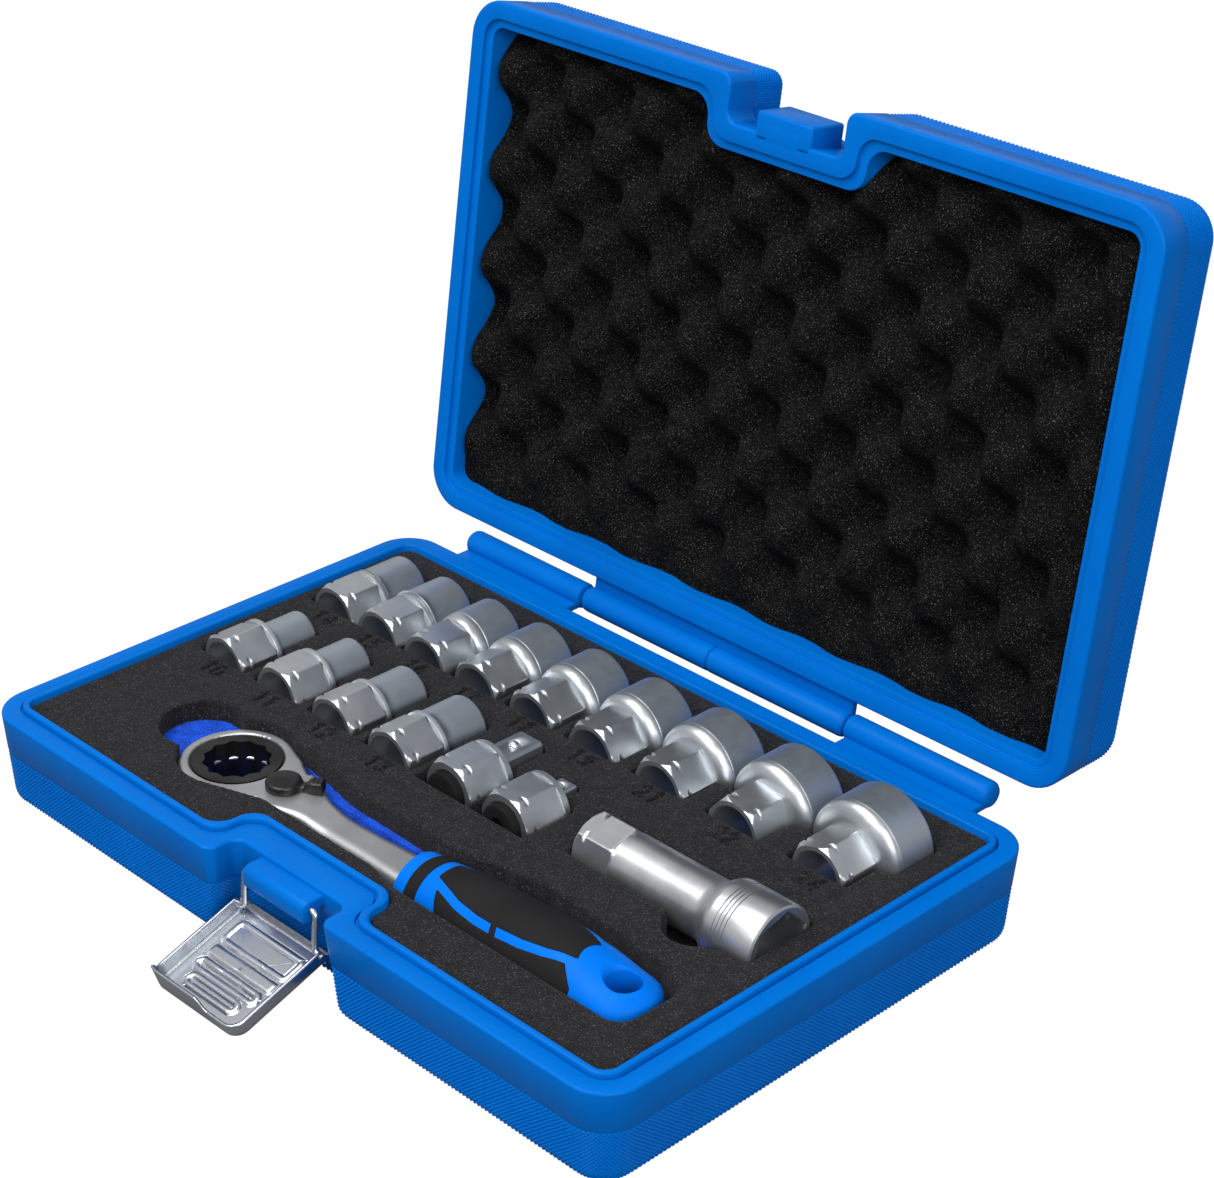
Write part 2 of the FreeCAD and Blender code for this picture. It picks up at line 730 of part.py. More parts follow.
def make_adaptor(tag, x):
    """A hexagon to square adaptor with its plug, ball and spring."""
    square = f"sizes.{tag}_square"
    ball = f"sizes.{tag}_ball"
    turn = roll(0)

    def at(along):
        return (x, f"sizes.adaptor_front + {along}", "sizes.tool_axis_z")

    collar_from = "sizes.adaptor_hex_length"
    square_from = "sizes.adaptor_hex_length + sizes.adaptor_collar"
    drive = drive_hexagon(f"{tag}_adaptor", at, turn, "sizes.adaptor_hex_length")
    collar = rod(f"{tag}_collar", "sizes.collar_radius", "sizes.adaptor_collar", at(collar_from), turn)
    tongue_bar = box(
        f"{tag}_tongue",
        (square, f"sizes.{tag}_square_length", square),
        (f"{x} - {square} / 2", f"sizes.adaptor_front + {square_from}", f"sizes.tool_axis_z - {square} / 2"),
    )
    along_ball = f"sizes.adaptor_front + {square_from} + sizes.{tag}_square_length * (1 - sizes.ball_from_end_share)"
    face_z = f"sizes.tool_axis_z + {square} / 2"
    well_z = f"{face_z} - sizes.{tag}_well"
    well = rod(f"{tag}_well", f"{ball} + sizes.ball_clearance", f"sizes.{tag}_well + 1", (x, along_ball, well_z))
    seat_depth = "sizes.plug_length - sizes.plug_proud"
    plug_hole = rod(f"{tag}_plug_hole", "sizes.plug_radius + sizes.press_gap", f"{seat_depth} + 1", at("-1"), turn)
    body_name = f"{tag}_adaptor_body"
    node(body_name, cut(body_name, fuse(f"{tag}_adaptor_solid", [drive, collar, tongue_bar]), [well, plug_hole]))
    plug_name = f"{tag}_adaptor_plug"
    plug = rod(plug_name, "sizes.plug_radius", "sizes.plug_length", at("-sizes.plug_proud"), turn)
    node(plug_name, plug)
    ball_z = f"{face_z} - {ball} * sizes.ball_sink_share"
    ball_name = f"{tag}_adaptor_ball"
    node(ball_name, solid("Part::Sphere", ball_name, {"Radius": ball}, (x, along_ball, ball_z)))
    radius = size(f"{tag}_ball")
    wire = radius * size("coil_wire_share")
    room = size(f"{tag}_well") - radius * (1 + size("ball_sink_share"))
    spring_name = f"{tag}_adaptor_spring"
    spring = feature(spring_name, coil(radius * size("coil_share"), wire, room + radius * size("coil_reach")))
    spring.setExpression("Placement.Base.x", x)
    spring.setExpression("Placement.Base.y", along_ball)
    spring.setExpression("Placement.Base.z", f"{well_z} + {ball} * sizes.coil_wire_share")
    node(spring_name, spring)


make_adaptor("large", "sizes.adaptor_left")
make_adaptor("small", "sizes.small_adaptor_x")

# Extension bar


def on_bar(along):
    """A place on the axis of the extension bar."""
    return (f"sizes.bar_left + {along}", "sizes.bar_y", "sizes.tool_axis_z")


bar_drive = drive_hexagon("bar", on_bar, ALONG_X.multiply(FreeCAD.Rotation(AXIS_Z, 15)), "sizes.bar_hex_length")
flare_from = "sizes.bar_length - sizes.bar_flare_length"
cone_from = f"{flare_from} - sizes.bar_cone_length"
bar_stem_length = f"{cone_from} - sizes.bar_hex_length + 0.5"
bar_stem = rod("bar_stem", "sizes.bar_radius", bar_stem_length, on_bar("sizes.bar_hex_length - 0.5"), ALONG_X)
bar_cone = cone("bar_cone", "sizes.bar_radius", "sizes.bar_flare_radius", "sizes.bar_cone_length", on_bar(cone_from), ALONG_X)
bar_flare_straight = "sizes.bar_flare_length - sizes.mouth_chamfer"
bar_flare = rod("bar_flare", "sizes.bar_flare_radius", bar_flare_straight, on_bar(flare_from), ALONG_X)
bar_lip = cone(
    "bar_lip",
    "sizes.bar_flare_radius",
    "sizes.bar_flare_radius - sizes.mouth_chamfer",
    "sizes.mouth_chamfer",
    on_bar("sizes.bar_length - sizes.mouth_chamfer"),
    ALONG_X,
)
bar_bore = rod("bar_bore", "sizes.bar_bore_radius", "sizes.bar_length + 2", on_bar("-1"), ALONG_X)
bar_mouth = prism(
    "bar_mouth",
    "(sizes.hex_flats + sizes.mouth_fit) / sqrt(3)",
    "sizes.bar_mouth_depth + 1",
    on_bar("sizes.bar_length - sizes.bar_mouth_depth"),
    ALONG_X,
)
ring_place = on_bar("sizes.bar_length - sizes.bar_ring_from_end")
bar_groove = hoop("bar_groove", "sizes.hex_corner", "sizes.spring_wire + sizes.spring_clearance", ring_place, ALONG_X)
bar_solid = fuse("bar_solid", [bar_drive, bar_stem, bar_cone, bar_flare, bar_lip])
node("extension_body", cut("extension_body", bar_solid, [bar_bore, bar_mouth, bar_groove]))
bar_ring = hoop("extension_spring_ring", "sizes.hex_corner", "sizes.spring_wire", ring_place, ALONG_X)
node("extension_spring_ring", bar_ring)

# Ratchet wrench: head, neck, shank and tang
ring_x = size("ring_x")
wrench_y = size("wrench_y")
wrench_z = size("wrench_z")
head_top = size("head_top")
head_bottom = size("head_bottom")
head_thick = size("head_thick")
lever_x = size("lever_x")
handle_left = size("handle_left")


def pear_face(x_first, r_first, x_last, r_last, z):
    """The outline of two circles on the axis of the wrench and their common tangents."""
    lean = math.acos((r_first - r_last) / (x_last - x_first))
    dx = math.cos(lean)
    dy = math.sin(lean)

    def spot(x, r, side):
        return V(x + r * dx, wrench_y + side * r * dy, z)

    edges = [
        Part.LineSegment(spot(x_first, r_first, 1), spot(x_last, r_last, 1)).toShape(),
        Part.Arc(spot(x_last, r_last, 1), V(x_last + r_last, wrench_y, z), spot(x_last, r_last, -1)).toShape(),
        Part.LineSegment(spot(x_last, r_last, -1), spot(x_first, r_first, -1)).toShape(),
        Part.Arc(spot(x_first, r_first, -1), V(x_first - r_first, wrench_y, z), spot(x_first, r_first, 1)).toShape(),
    ]
    return Part.Face(Part.Wire(edges))


def block(x_from, x_to, width, thick):
    """A bar centred on the axis of the wrench."""
    return Part.makeBox(x_to - x_from, width, thick, V(x_from, wrench_y - width / 2, wrench_z - thick / 2))


def disc(radius, z_from, z_to, x, y=wrench_y):
    """An upright cylinder."""
    return Part.makeCylinder(radius, z_to - z_from, V(x, y, z_from))


head = pear_face(ring_x, size("head_radius"), lever_x, size("neck_radius"), head_bottom).extrude(V(0, 0, head_thick))
head_rims = [e for e in head.Edges if e.BoundBox.ZLength < 1e-6]
head = head.makeFillet(size("head_round"), head_rims)
shank = block(lever_x, handle_left + 2, size("shank_width"), size("shank_thick"))
shank_rims = [e for e in shank.Edges if e.BoundBox.XLength > 1]
shank = shank.makeFillet(size("shank_thick") * size("shank_round_share"), shank_rims)
tang = block(handle_left, handle_left + size("tang_length"), size("tang_width"), size("tang_thick"))
seat_radius = size("ring_bore") - size("ring_seat_width")
wrench = head.fuse(shank).fuse(tang)
wrench = wrench.cut(disc(seat_radius, head_bottom - 1, head_top + 1, ring_x))
wrench = wrench.cut(disc(size("ring_bore"), head_bottom + size("ring_seat"), head_top + 1, ring_x))
snap_z = size("snap_z")
snap_outer = size("ring_bore") + size("snap_out")
snap_gap = size("snap_gap")
wrench = wrench.cut(disc(snap_outer + snap_gap, snap_z - snap_gap, snap_z + size("snap_width") + snap_gap, ring_x))
pawl_reach = size("pawl_reach")
pawl_floor = size("pawl_z") - size("ring_end_gap")
wrench = wrench.cut(disc(pawl_reach + size("pawl_room"), pawl_floor, size("pawl_roof"), lever_x))
spindle_hole = size("spindle_radius") + size("spindle_clearance")
wrench = wrench.cut(disc(spindle_hole, pawl_floor, head_top + 1, lever_x))
detent_x = lever_x + size("detent_from")
detent_hole = size("detent_radius") + size("ball_clearance")
wrench = wrench.cut(disc(detent_hole, head_top - size("detent_depth"), head_top + 1, detent_x))
node("wrench_body", feature("wrench_body", wrench.removeSplitter()))

# Ratchet ring with fine teeth outside and twelve points inside
ring_radius = size("ring_radius")
ring_base = size("ring_base")
ring_top = size("ring_top")
teeth = int(size("tooth_count"))
rim = []
for i in range(2 * teeth):
    radius = ring_radius - (i % 2) * size("tooth_depth")
    angle = math.pi * i / teeth
    rim.append(V(ring_x + radius * math.cos(angle), wrench_y + radius * math.sin(angle), wrench_z - size("tooth_band") / 2))
toothed = Part.Face(Part.makePolygon(rim + rim[:1])).extrude(V(0, 0, size("tooth_band")))
snap_inner = size("ring_bore") - size("snap_in")
ring = disc(ring_radius, ring_base, snap_z - snap_gap, ring_x)
ring = ring.cut(disc(ring_radius + 1, wrench_z - size("tooth_band") / 2, wrench_z + size("tooth_band") / 2, ring_x))
ring = ring.fuse(toothed)
ring = ring.fuse(disc(snap_inner - snap_gap, snap_z - 2 * snap_gap, ring_top, ring_x))
ring = ring.fuse(disc(seat_radius - size("ring_end_gap"), head_bottom + size("ring_end_gap"), ring_base + 1, ring_x))
point_corner = size("ring_points") / math.sqrt(3)
for quarter in (0, 30):
    star = []
    for i in range(7):
        angle = math.radians(60 * i + quarter)
        star.append(V(ring_x + point_corner * math.cos(angle), wrench_y + point_corner * math.sin(angle), head_bottom - 1))
    ring = ring.cut(Part.Face(Part.makePolygon(star)).extrude(V(0, 0, head_thick + 2)))
spring_wire = size("spring_wire")
bore_groove = Part.makeTorus(point_corner, spring_wire + size("spring_clearance"), V(ring_x, wrench_y, wrench_z))
ring = ring.cut(bore_groove)
node("ratchet_ring", feature("ratchet_ring", ring.removeSplitter()))

bore_ring = hoop(
    "bore_spring_ring",
    "sizes.ring_points / sqrt(3)",
    "sizes.spring_wire",
    ("sizes.ring_x", "sizes.wrench_y", "sizes.wrench_z"),
)
node("bore_spring_ring", bore_ring)

snap_place = ("sizes.ring_x", "sizes.wrench_y", "sizes.snap_z")
snap_outside = rod("snap_outside", "sizes.ring_bore + sizes.snap_out", "sizes.snap_width", snap_place)
snap_inside = rod(
    "snap_inside",
    "sizes.ring_bore - sizes.snap_in",
    "sizes.snap_width + 2",
    ("sizes.ring_x", "sizes.wrench_y", "sizes.snap_z - 1"),
)
snap_slot = box(
    "snap_slot",
    ("2 * sizes.snap_slot_reach", "sizes.snap_slot_width", "sizes.snap_width + 2"),
    ("sizes.ring_x - sizes.ring_bore - sizes.snap_slot_reach", "sizes.wrench_y - sizes.snap_slot_width / 2", "sizes.snap_z - 1"),
)
node("ring_retainer", cut("ring_retainer", snap_outside, [snap_inside, snap_slot]))

# Reversing lever, turned to the side it rests at
lever_low = head_top + size("lever_lift")
lever_high = lever_low + size("lever_thick")
lever = disc(size("lever_disc"), lever_low, lever_high, 0, 0)
tail_width = size("lever_tail_width")
lever_tail = Part.makeBox(size("lever_reach") - tail_width / 2, tail_width, size("lever_thick") + size("lever_tail_rise"))
lever_tail.translate(V(0, -tail_width / 2, lever_low))
lever_end = disc(tail_width / 2, lever_low, lever_high + size("lever_tail_rise"), size("lever_reach") - tail_width / 2, 0)
spindle = disc(size("spindle_radius"), size("pawl_z"), lever_low + 1, 0, 0)
lever = lever.fuse(lever_tail).fuse(lever_end).fuse(spindle)
detent_z = head_top - size("detent_radius") * size("detent_sink")
detent_track = Part.makeTorus(size("detent_from"), size("detent_radius") + size("detent_play"), V(0, 0, detent_z))
lever = lever.cut(detent_track).removeSplitter()
lever_node = feature("reversing_lever", lever)
lever_node.Placement = FreeCAD.Placement(V(lever_x, wrench_y, 0), FreeCAD.Rotation(AXIS_Z, size("lever_rest")))
node("reversing_lever", lever_node)

# Pawl: a rocker on the spindle that faces the ring
spread = size("pawl_half_angle")
pawl = Part.makeCylinder(pawl_reach, size("pawl_height"), V(0, 0, size("pawl_z")), AXIS_Z, 2 * spread)
pawl.rotate(ORIGIN, AXIS_Z, 180 - spread)
pawl = pawl.fuse(disc(size("spindle_radius") + size("pawl_wall"), size("pawl_z"), size("pawl_z") + size("pawl_height"), 0, 0))
pawl = pawl.cut(disc(size("spindle_radius") + size("press_gap"), size("pawl_z") - 1, head_top, 0, 0)).removeSplitter()
pawl_node = feature("pawl", pawl)
pawl_node.Placement = FreeCAD.Placement(V(lever_x, wrench_y, 0), FreeCAD.Rotation(AXIS_Z, size("lever_rest")))
node("pawl", pawl_node)

detent_place = ("sizes.lever_x + sizes.detent_from", "sizes.wrench_y", "sizes.head_top - sizes.detent_radius * sizes.detent_sink")
node("detent_ball", solid("Part::Sphere", "detent_ball", {"Radius": "sizes.detent_radius"}, detent_place))
detent_room = size("detent_depth") - size("detent_radius") * (1 + size("detent_sink"))
detent_wire = size("detent_radius") * size("coil_wire_share")
detent_spring = feature("detent_spring", coil(size("detent_radius") * size("coil_share"), detent_wire, detent_room + size("detent_radius") * size("coil_reach")))
detent_spring.Placement.Base = V(detent_x, wrench_y, head_top - size("detent_depth") + detent_wire)
node("detent_spring", detent_spring)

# Handle: lofted oval sections, as shares of the length, width and height
HANDLE_SECTIONS = (
    (0.0, 0.76, 0.72),
    (0.1, 0.8, 0.78),
    (0.25, 0.92, 0.92),
    (0.5, 1.0, 1.0),
    (0.75, 1.0, 1.0),
    (0.9, 0.96, 0.9),
    (0.97, 0.8, 0.7),
    (1.0, 0.45, 0.4),
)
handle_length = size("handle_length")


def oval(x, width, height):
    """An upright oval across the handle."""
    major, minor = (width / 2, height / 2) if width > height else (height / 2, width / 2)
    ellipse = Part.Ellipse(ORIGIN, major, minor).toShape()
    frame = FreeCAD.Rotation(AXIS_Y, AXIS_Z, AXIS_X) if width > height else FreeCAD.Rotation(AXIS_Z, -AXIS_Y, AXIS_X)
    ellipse.Placement = FreeCAD.Placement(V(x, wrench_y, wrench_z), frame)
    return Part.Wire(ellipse)


def handle_loft(thinner):
    """The handle, thinner all round by the given amount."""
    wires = []
    for share, wide, high in HANDLE_SECTIONS:
        x = handle_left + share * handle_length
        width = size("handle_width") * wide - 2 * thinner
        height = size("handle_height") * high - 2 * thinner
        wires.append(oval(x, width, height))
    return Part.makeLoft(wires, True, False)


handle = handle_loft(0)
cut_reach = 2 * size("handle_height")
grip_from = handle_left + size("grip_start")
grip_to = handle_left + size("grip_stop")
band = Part.makeBox(grip_to - grip_from, 2 * cut_reach, 2 * cut_reach, V(grip_from, wrench_y - cut_reach, wrench_z - cut_reach))
grip = handle.common(band).cut(handle_loft(size("grip_thick")))
core = handle.cut(grip)
hang_x = handle_left + handle_length - size("hang_from_end")
core = core.cut(disc(size("hang_radius"), wrench_z - cut_reach, wrench_z + cut_reach, hang_x))
core = core.cut(wrench)
node("handle_core", feature("handle_core", core))
node("handle_grip", feature("handle_grip", grip))

# Foam: a blue sheet under a black tray with routed pockets
backing_top = size("backing_top")
foam_top = size("foam_top")
pocket_gap = size("pocket_gap")
seat_gap = size("seat_gap")
tool_axis_z = size("tool_axis_z")
hex_corner = size("hex_corner")
node("foam_backing", feature("foam_backing", hollow(foam_inset, lid_half, lid_notch, skin, backing_top - skin)))


def pocket(x_from, x_to, y_from, y_to, floor):
    """A square-walled pocket, open at the top."""
    floor = max(floor, backing_top)
    low = floor if floor > backing_top + size("floor_least") else backing_top - 1
    return Part.makeBox(x_to - x_from, y_to - y_from, foam_top + 1 - low, V(x_from, y_from, low))


def lying_pocket(x, half, y_from, y_to, radius):
    """A pocket for a round or hexagonal piece that lies along Y."""
    room = half + pocket_gap
    return pocket(x - room, x + room, y_from, y_to, tool_axis_z - radius - seat_gap)


pockets = []
for flats in FRONT_SIZES + BACK_SIZES:
    x = size(f"place_{flats}")
    front = size("front_row_front") if flats in FRONT_SIZES else size("back_row_front")
    radius = size(f"barrel_{flats}")
    joint_y = front + size("hex_length")
    end_y = front + size("socket_length") + pocket_gap
    pockets.append(lying_pocket(x, hex_corner, front - pocket_gap, joint_y + size("collar_length") + pocket_gap, hex_corner))
    pockets.append(lying_pocket(x, radius, joint_y - pocket_gap, end_y, radius))
for tag, x in (("large", size("adaptor_left")), ("small", size("small_adaptor_x"))):
    front = size("adaptor_front")
    collar_y = front + size("adaptor_hex_length") + size("adaptor_collar")
    end_y = collar_y + size(f"{tag}_square_length") + pocket_gap
    half = size(f"{tag}_square") / 2
    pockets.append(lying_pocket(x, hex_corner, front - size("plug_proud") - pocket_gap, collar_y + pocket_gap, hex_corner))
    pockets.append(lying_pocket(x, half, collar_y, end_y, half))
bar_left = size("bar_left")
bar_y = size("bar_y")
bar_end = bar_left + size("bar_length")
bar_flare_x = bar_end - size("bar_flare_length") - size("bar_cone_length")
for x_from, x_to, radius in (
    (bar_left - pocket_gap, bar_flare_x + pocket_gap, hex_corner),
    (bar_flare_x - pocket_gap, bar_end + pocket_gap, size("bar_flare_radius")),
):
    room = radius + pocket_gap
    pockets.append(pocket(x_from, x_to, bar_y - room, bar_y + room, tool_axis_z - radius - seat_gap))
low = backing_top - 1
pockets.append(disc(size("thumb_radius"), low, foam_top + 1, size("thumb_x"), size("thumb_y")))
pockets.append(disc(size("finger_radius"), low, foam_top + 1, size("finger_x"), size("finger_y")))
head_room = pear_face(ring_x, size("head_radius") + pocket_gap, lever_x, size("neck_radius") + pocket_gap, low)
pockets.append(head_room.extrude(V(0, 0, foam_top + 1 - low)))
near_side = wrench_y - size("handle_width") / 2 - pocket_gap
shank_side = wrench_y + size("neck_radius") + pocket_gap
grip_side = wrench_y + size("handle_width") / 2 + size("grip_room")
handle_end = handle_left + handle_length
wrench_room = (
    (ring_x, near_side, 1),
    (handle_end + pocket_gap, near_side, 5),
    (handle_end + pocket_gap, wrench_y + size("handle_width") / 2, 6),
    (handle_end - size("hang_from_end"), grip_side - size("hang_room_step"), 6),
    (handle_left + size("grip_room_from"), grip_side, 12),
    (handle_left, wrench_y + size("handle_width") / 2 + size("collar_room"), 8),
    (lever_x + size("neck_room_from"), wrench_y + size("shank_width") / 2 + size("shank_room"), 8),
    (lever_x, shank_side, 6),
    (ring_x, wrench_y + size("head_radius"), 1),
)
pockets.append(slab(rounded_loop(wrench_room, low), foam_top + 1 - low))
tray = hollow(foam_inset, lid_half, lid_notch, backing_top, foam_top - backing_top)
tray = tray.cut(pockets)

# The tray is kept as blocks that meet face to face, so that the collision of each follows the walls of its pockets
far = size("case_length")


def sides(places, half):
    """The lines along both walls of a row of pockets."""
    return [x + way * (half(x) + pocket_gap) for x in places for way in (-1, 1)]


def place_of(flats):
    """Where a socket lies along its row."""
    return size(f"place_{flats}")


def barrel_room(rows):
    """The half width of each barrel by the place of its socket."""
    return {place_of(flats): size(f"barrel_{flats}") for flats in rows}.get


def hex_room(x):
    """The half width of a hexagon, wherever it lies."""
    return hex_corner


adaptor_places = (size("adaptor_left"), size("small_adaptor_x"))
front_y = size("front_row_front")
back_y = size("back_row_front")
hex_end = size("hex_length") + size("collar_length") + pocket_gap
socket_end = size("socket_length") + pocket_gap
wide_start = size("hex_length") - pocket_gap
slim = [flats for flats in BACK_SIZES if size(f"barrel_{flats}") < hex_corner]
stout = [flats for flats in BACK_SIZES if flats not in slim]
plug_y = size("adaptor_front") - size("plug_proud") - pocket_gap
collar_y = size("adaptor_front") + size("adaptor_hex_length") + size("adaptor_collar")
small_end = collar_y + size("small_square_length") + pocket_gap
large_end = collar_y + size("large_square_length") + pocket_gap
tongue_half = {x: size(f"{tag}_square") / 2 for tag, x in zip(("large", "small"), adaptor_places)}.get
left_edge = (place_of(FRONT_SIZES[-1]) + adaptor_places[0]) / 2
right_edge = (adaptor_places[-1] + hex_corner + bar_left) / 2
back_edge = (place_of(slim[-1]) + place_of(stout[0])) / 2
row_front = wrench_y + size("head_radius") + size("strip_margin")
row_back = back_y - pocket_gap
bar_half = hex_corner + pocket_gap
flare_half = size("bar_flare_radius") + pocket_gap
thumb_lines = [size("thumb_x") + size("thumb_radius") * share for share in (-1, -0.7, 0, 0.7, 1)]
head_room_radius = size("head_radius") + pocket_gap
head_lines = [ring_x + head_room_radius * share for share in (-1, -0.92, -0.71, -0.36, 0, 0.36)]
finger_lines = [size("finger_x") + size("finger_radius") * share for share in (-1, -0.7)]
notch_lines = [way * (lid_half + foam_inset) for way in (-1, 1)]
room_lines = [corner[0] for corner in wrench_room]
end_round = handle_end + pocket_gap - wrench_room[1][2]
strips = (
    (-far, wrench_y, -far, far, head_lines + finger_lines + notch_lines + [lever_x, end_round, handle_end + pocket_gap]),
    (wrench_y, row_front, -far, far, head_lines + finger_lines + room_lines),
    (row_front, front_y - pocket_gap, -far, left_edge, []),
    (front_y - pocket_gap, front_y + hex_end, -far, left_edge, sides(map(place_of, FRONT_SIZES), hex_room)),
    (front_y + hex_end, front_y + socket_end, -far, left_edge, sides(map(place_of, FRONT_SIZES), barrel_room(FRONT_SIZES))),
    (front_y + socket_end, row_back, -far, left_edge, []),
    (row_front, plug_y, left_edge, right_edge, []),
    (plug_y, collar_y + pocket_gap, left_edge, right_edge, sides(adaptor_places, hex_room)),
    (collar_y + pocket_gap, small_end, left_edge, right_edge, sides(adaptor_places, tongue_half)),
    (small_end, large_end, left_edge, right_edge, sides(adaptor_places[:1], tongue_half)),
    (large_end, row_back, left_edge, right_edge, []),
    (row_front, bar_y - flare_half, right_edge, far, thumb_lines),
    (bar_y - flare_half, bar_y - bar_half, right_edge, far, [thumb_lines[0], bar_flare_x - pocket_gap, bar_end + pocket_gap]),
    (
        bar_y - bar_half,
        bar_y + bar_half,
        right_edge,
        far,
        [bar_left - pocket_gap, thumb_lines[0], bar_flare_x - pocket_gap, thumb_lines[-1], bar_end + pocket_gap],
    ),
    (bar_y + bar_half, bar_y + flare_half, right_edge, far, [bar_flare_x - pocket_gap, bar_end + pocket_gap]),
    (bar_y + flare_half, row_back, right_edge, far, []),
    (row_back, back_y + hex_end, -far, back_edge, sides(map(place_of, slim), hex_room)),
    (back_y + hex_end, back_y + socket_end, -far, back_edge, sides(map(place_of, slim), barrel_room(slim))),
    (row_back, back_y + wide_start, back_edge, far, sides(map(place_of, stout), hex_room)),
    (back_y + wide_start, back_y + socket_end, back_edge, far, sides(map(place_of, stout), barrel_room(stout))),
    (back_y + socket_end, far, -far, far, []),
)
blocks = []
for y_from, y_to, x_from, x_to, lines in strips:
    stops = [x_from]
    for x in sorted(lines):
        if stops[-1] + size("block_least") < x < x_to - size("block_least"):
            stops.append(x)
    stops.append(x_to)
    for start, stop in zip(stops, stops[1:]):
        cell = Part.makeBox(stop - start, y_to - y_from, foam_top - backing_top, V(start, y_from, backing_top))
        blocks.extend(tray.common(cell).Solids)
node("tool_foam", feature("tool_foam", Part.makeCompound(blocks)))
print(f"tray: {len(blocks)} blocks hold {sum(b.Volume for b in blocks):.1f} of {tray.Volume:.1f} mm3")

doc.recompute()
for made in doc.Objects:
    for word in ("Invalid", "Error"):
        if word in made.State:
            raise RuntimeError(f"{made.Name} is marked {word}")
os.makedirs("parts", exist_ok=True)
for made in nodes:
    shape = made.Shape
    if shape.isNull() or not shape.isValid():
        raise RuntimeError(f"{made.Label} has no valid shape")
    shape.exportStep(f"parts/{made.Label}.step")
    box_now = shape.BoundBox
    print(
        f"{made.Label}: {len(shape.Solids)} solid, {shape.Volume:.0f} mm3,"
        f" x {box_now.XMin:.1f} {box_now.XMax:.1f}, y {box_now.YMin:.1f} {box_now.YMax:.1f},"
        f" z {box_now.ZMin:.1f} {box_now.ZMax:.1f}"
    )
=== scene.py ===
"""Looks of the socket wrench set: finishes, fine shapes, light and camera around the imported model."""
from __future__ import annotations

import json
import logging
import math
from dataclasses import dataclass, field
from enum import Enum
from typing import Callable, ClassVar, Sequence

import bmesh
import bpy
import numpy as np
from mathutils import Matrix, Vector, noise

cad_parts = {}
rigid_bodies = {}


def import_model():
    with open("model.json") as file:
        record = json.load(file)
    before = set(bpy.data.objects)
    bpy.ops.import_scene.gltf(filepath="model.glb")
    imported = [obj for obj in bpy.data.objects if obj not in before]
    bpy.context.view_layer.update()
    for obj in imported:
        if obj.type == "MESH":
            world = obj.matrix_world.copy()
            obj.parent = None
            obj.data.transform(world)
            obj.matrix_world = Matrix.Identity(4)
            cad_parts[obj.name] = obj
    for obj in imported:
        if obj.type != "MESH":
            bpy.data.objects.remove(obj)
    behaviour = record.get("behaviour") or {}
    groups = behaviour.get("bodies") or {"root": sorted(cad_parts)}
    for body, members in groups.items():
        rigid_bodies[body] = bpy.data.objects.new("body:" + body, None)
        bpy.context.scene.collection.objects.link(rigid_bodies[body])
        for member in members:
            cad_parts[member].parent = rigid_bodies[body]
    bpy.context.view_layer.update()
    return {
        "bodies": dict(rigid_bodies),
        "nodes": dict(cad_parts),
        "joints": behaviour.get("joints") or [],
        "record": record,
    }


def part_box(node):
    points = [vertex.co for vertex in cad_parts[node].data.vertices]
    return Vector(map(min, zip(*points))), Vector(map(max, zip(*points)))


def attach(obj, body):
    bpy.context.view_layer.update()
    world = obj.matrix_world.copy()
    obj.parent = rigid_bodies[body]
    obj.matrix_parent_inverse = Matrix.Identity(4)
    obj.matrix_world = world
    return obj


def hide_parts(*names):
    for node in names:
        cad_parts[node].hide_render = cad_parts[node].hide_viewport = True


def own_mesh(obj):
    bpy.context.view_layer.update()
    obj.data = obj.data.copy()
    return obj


MM = 0.001
log = logging.getLogger("socket_set")
Array = np.ndarray


# Shader maths


class Signal:
    """A node's output whose arithmetic adds Math nodes."""

    def __init__(self, kit: "NodeKit", socket: bpy.types.NodeSocket) -> None:
        self.kit = kit
        self.socket = socket

    def _math(self, operation: str, first: object, second: object) -> "Signal":
        """Adds one Math node."""
        return self.kit.add("ShaderNodeMath", {"operation": operation}, {0: first, 1: second})

    def __add__(self, other: object) -> "Signal":
        """Sum."""
        return self._math("ADD", self, other)

    __radd__ = __add__

    def __mul__(self, other: object) -> "Signal":
        """Product."""
        return self._math("MULTIPLY", self, other)

    __rmul__ = __mul__

    def __sub__(self, other: object) -> "Signal":
        """Difference."""
        return self._math("SUBTRACT", self, other)

    def __rsub__(self, other: object) -> "Signal":
        """Reflected difference."""
        return self._math("SUBTRACT", other, self)


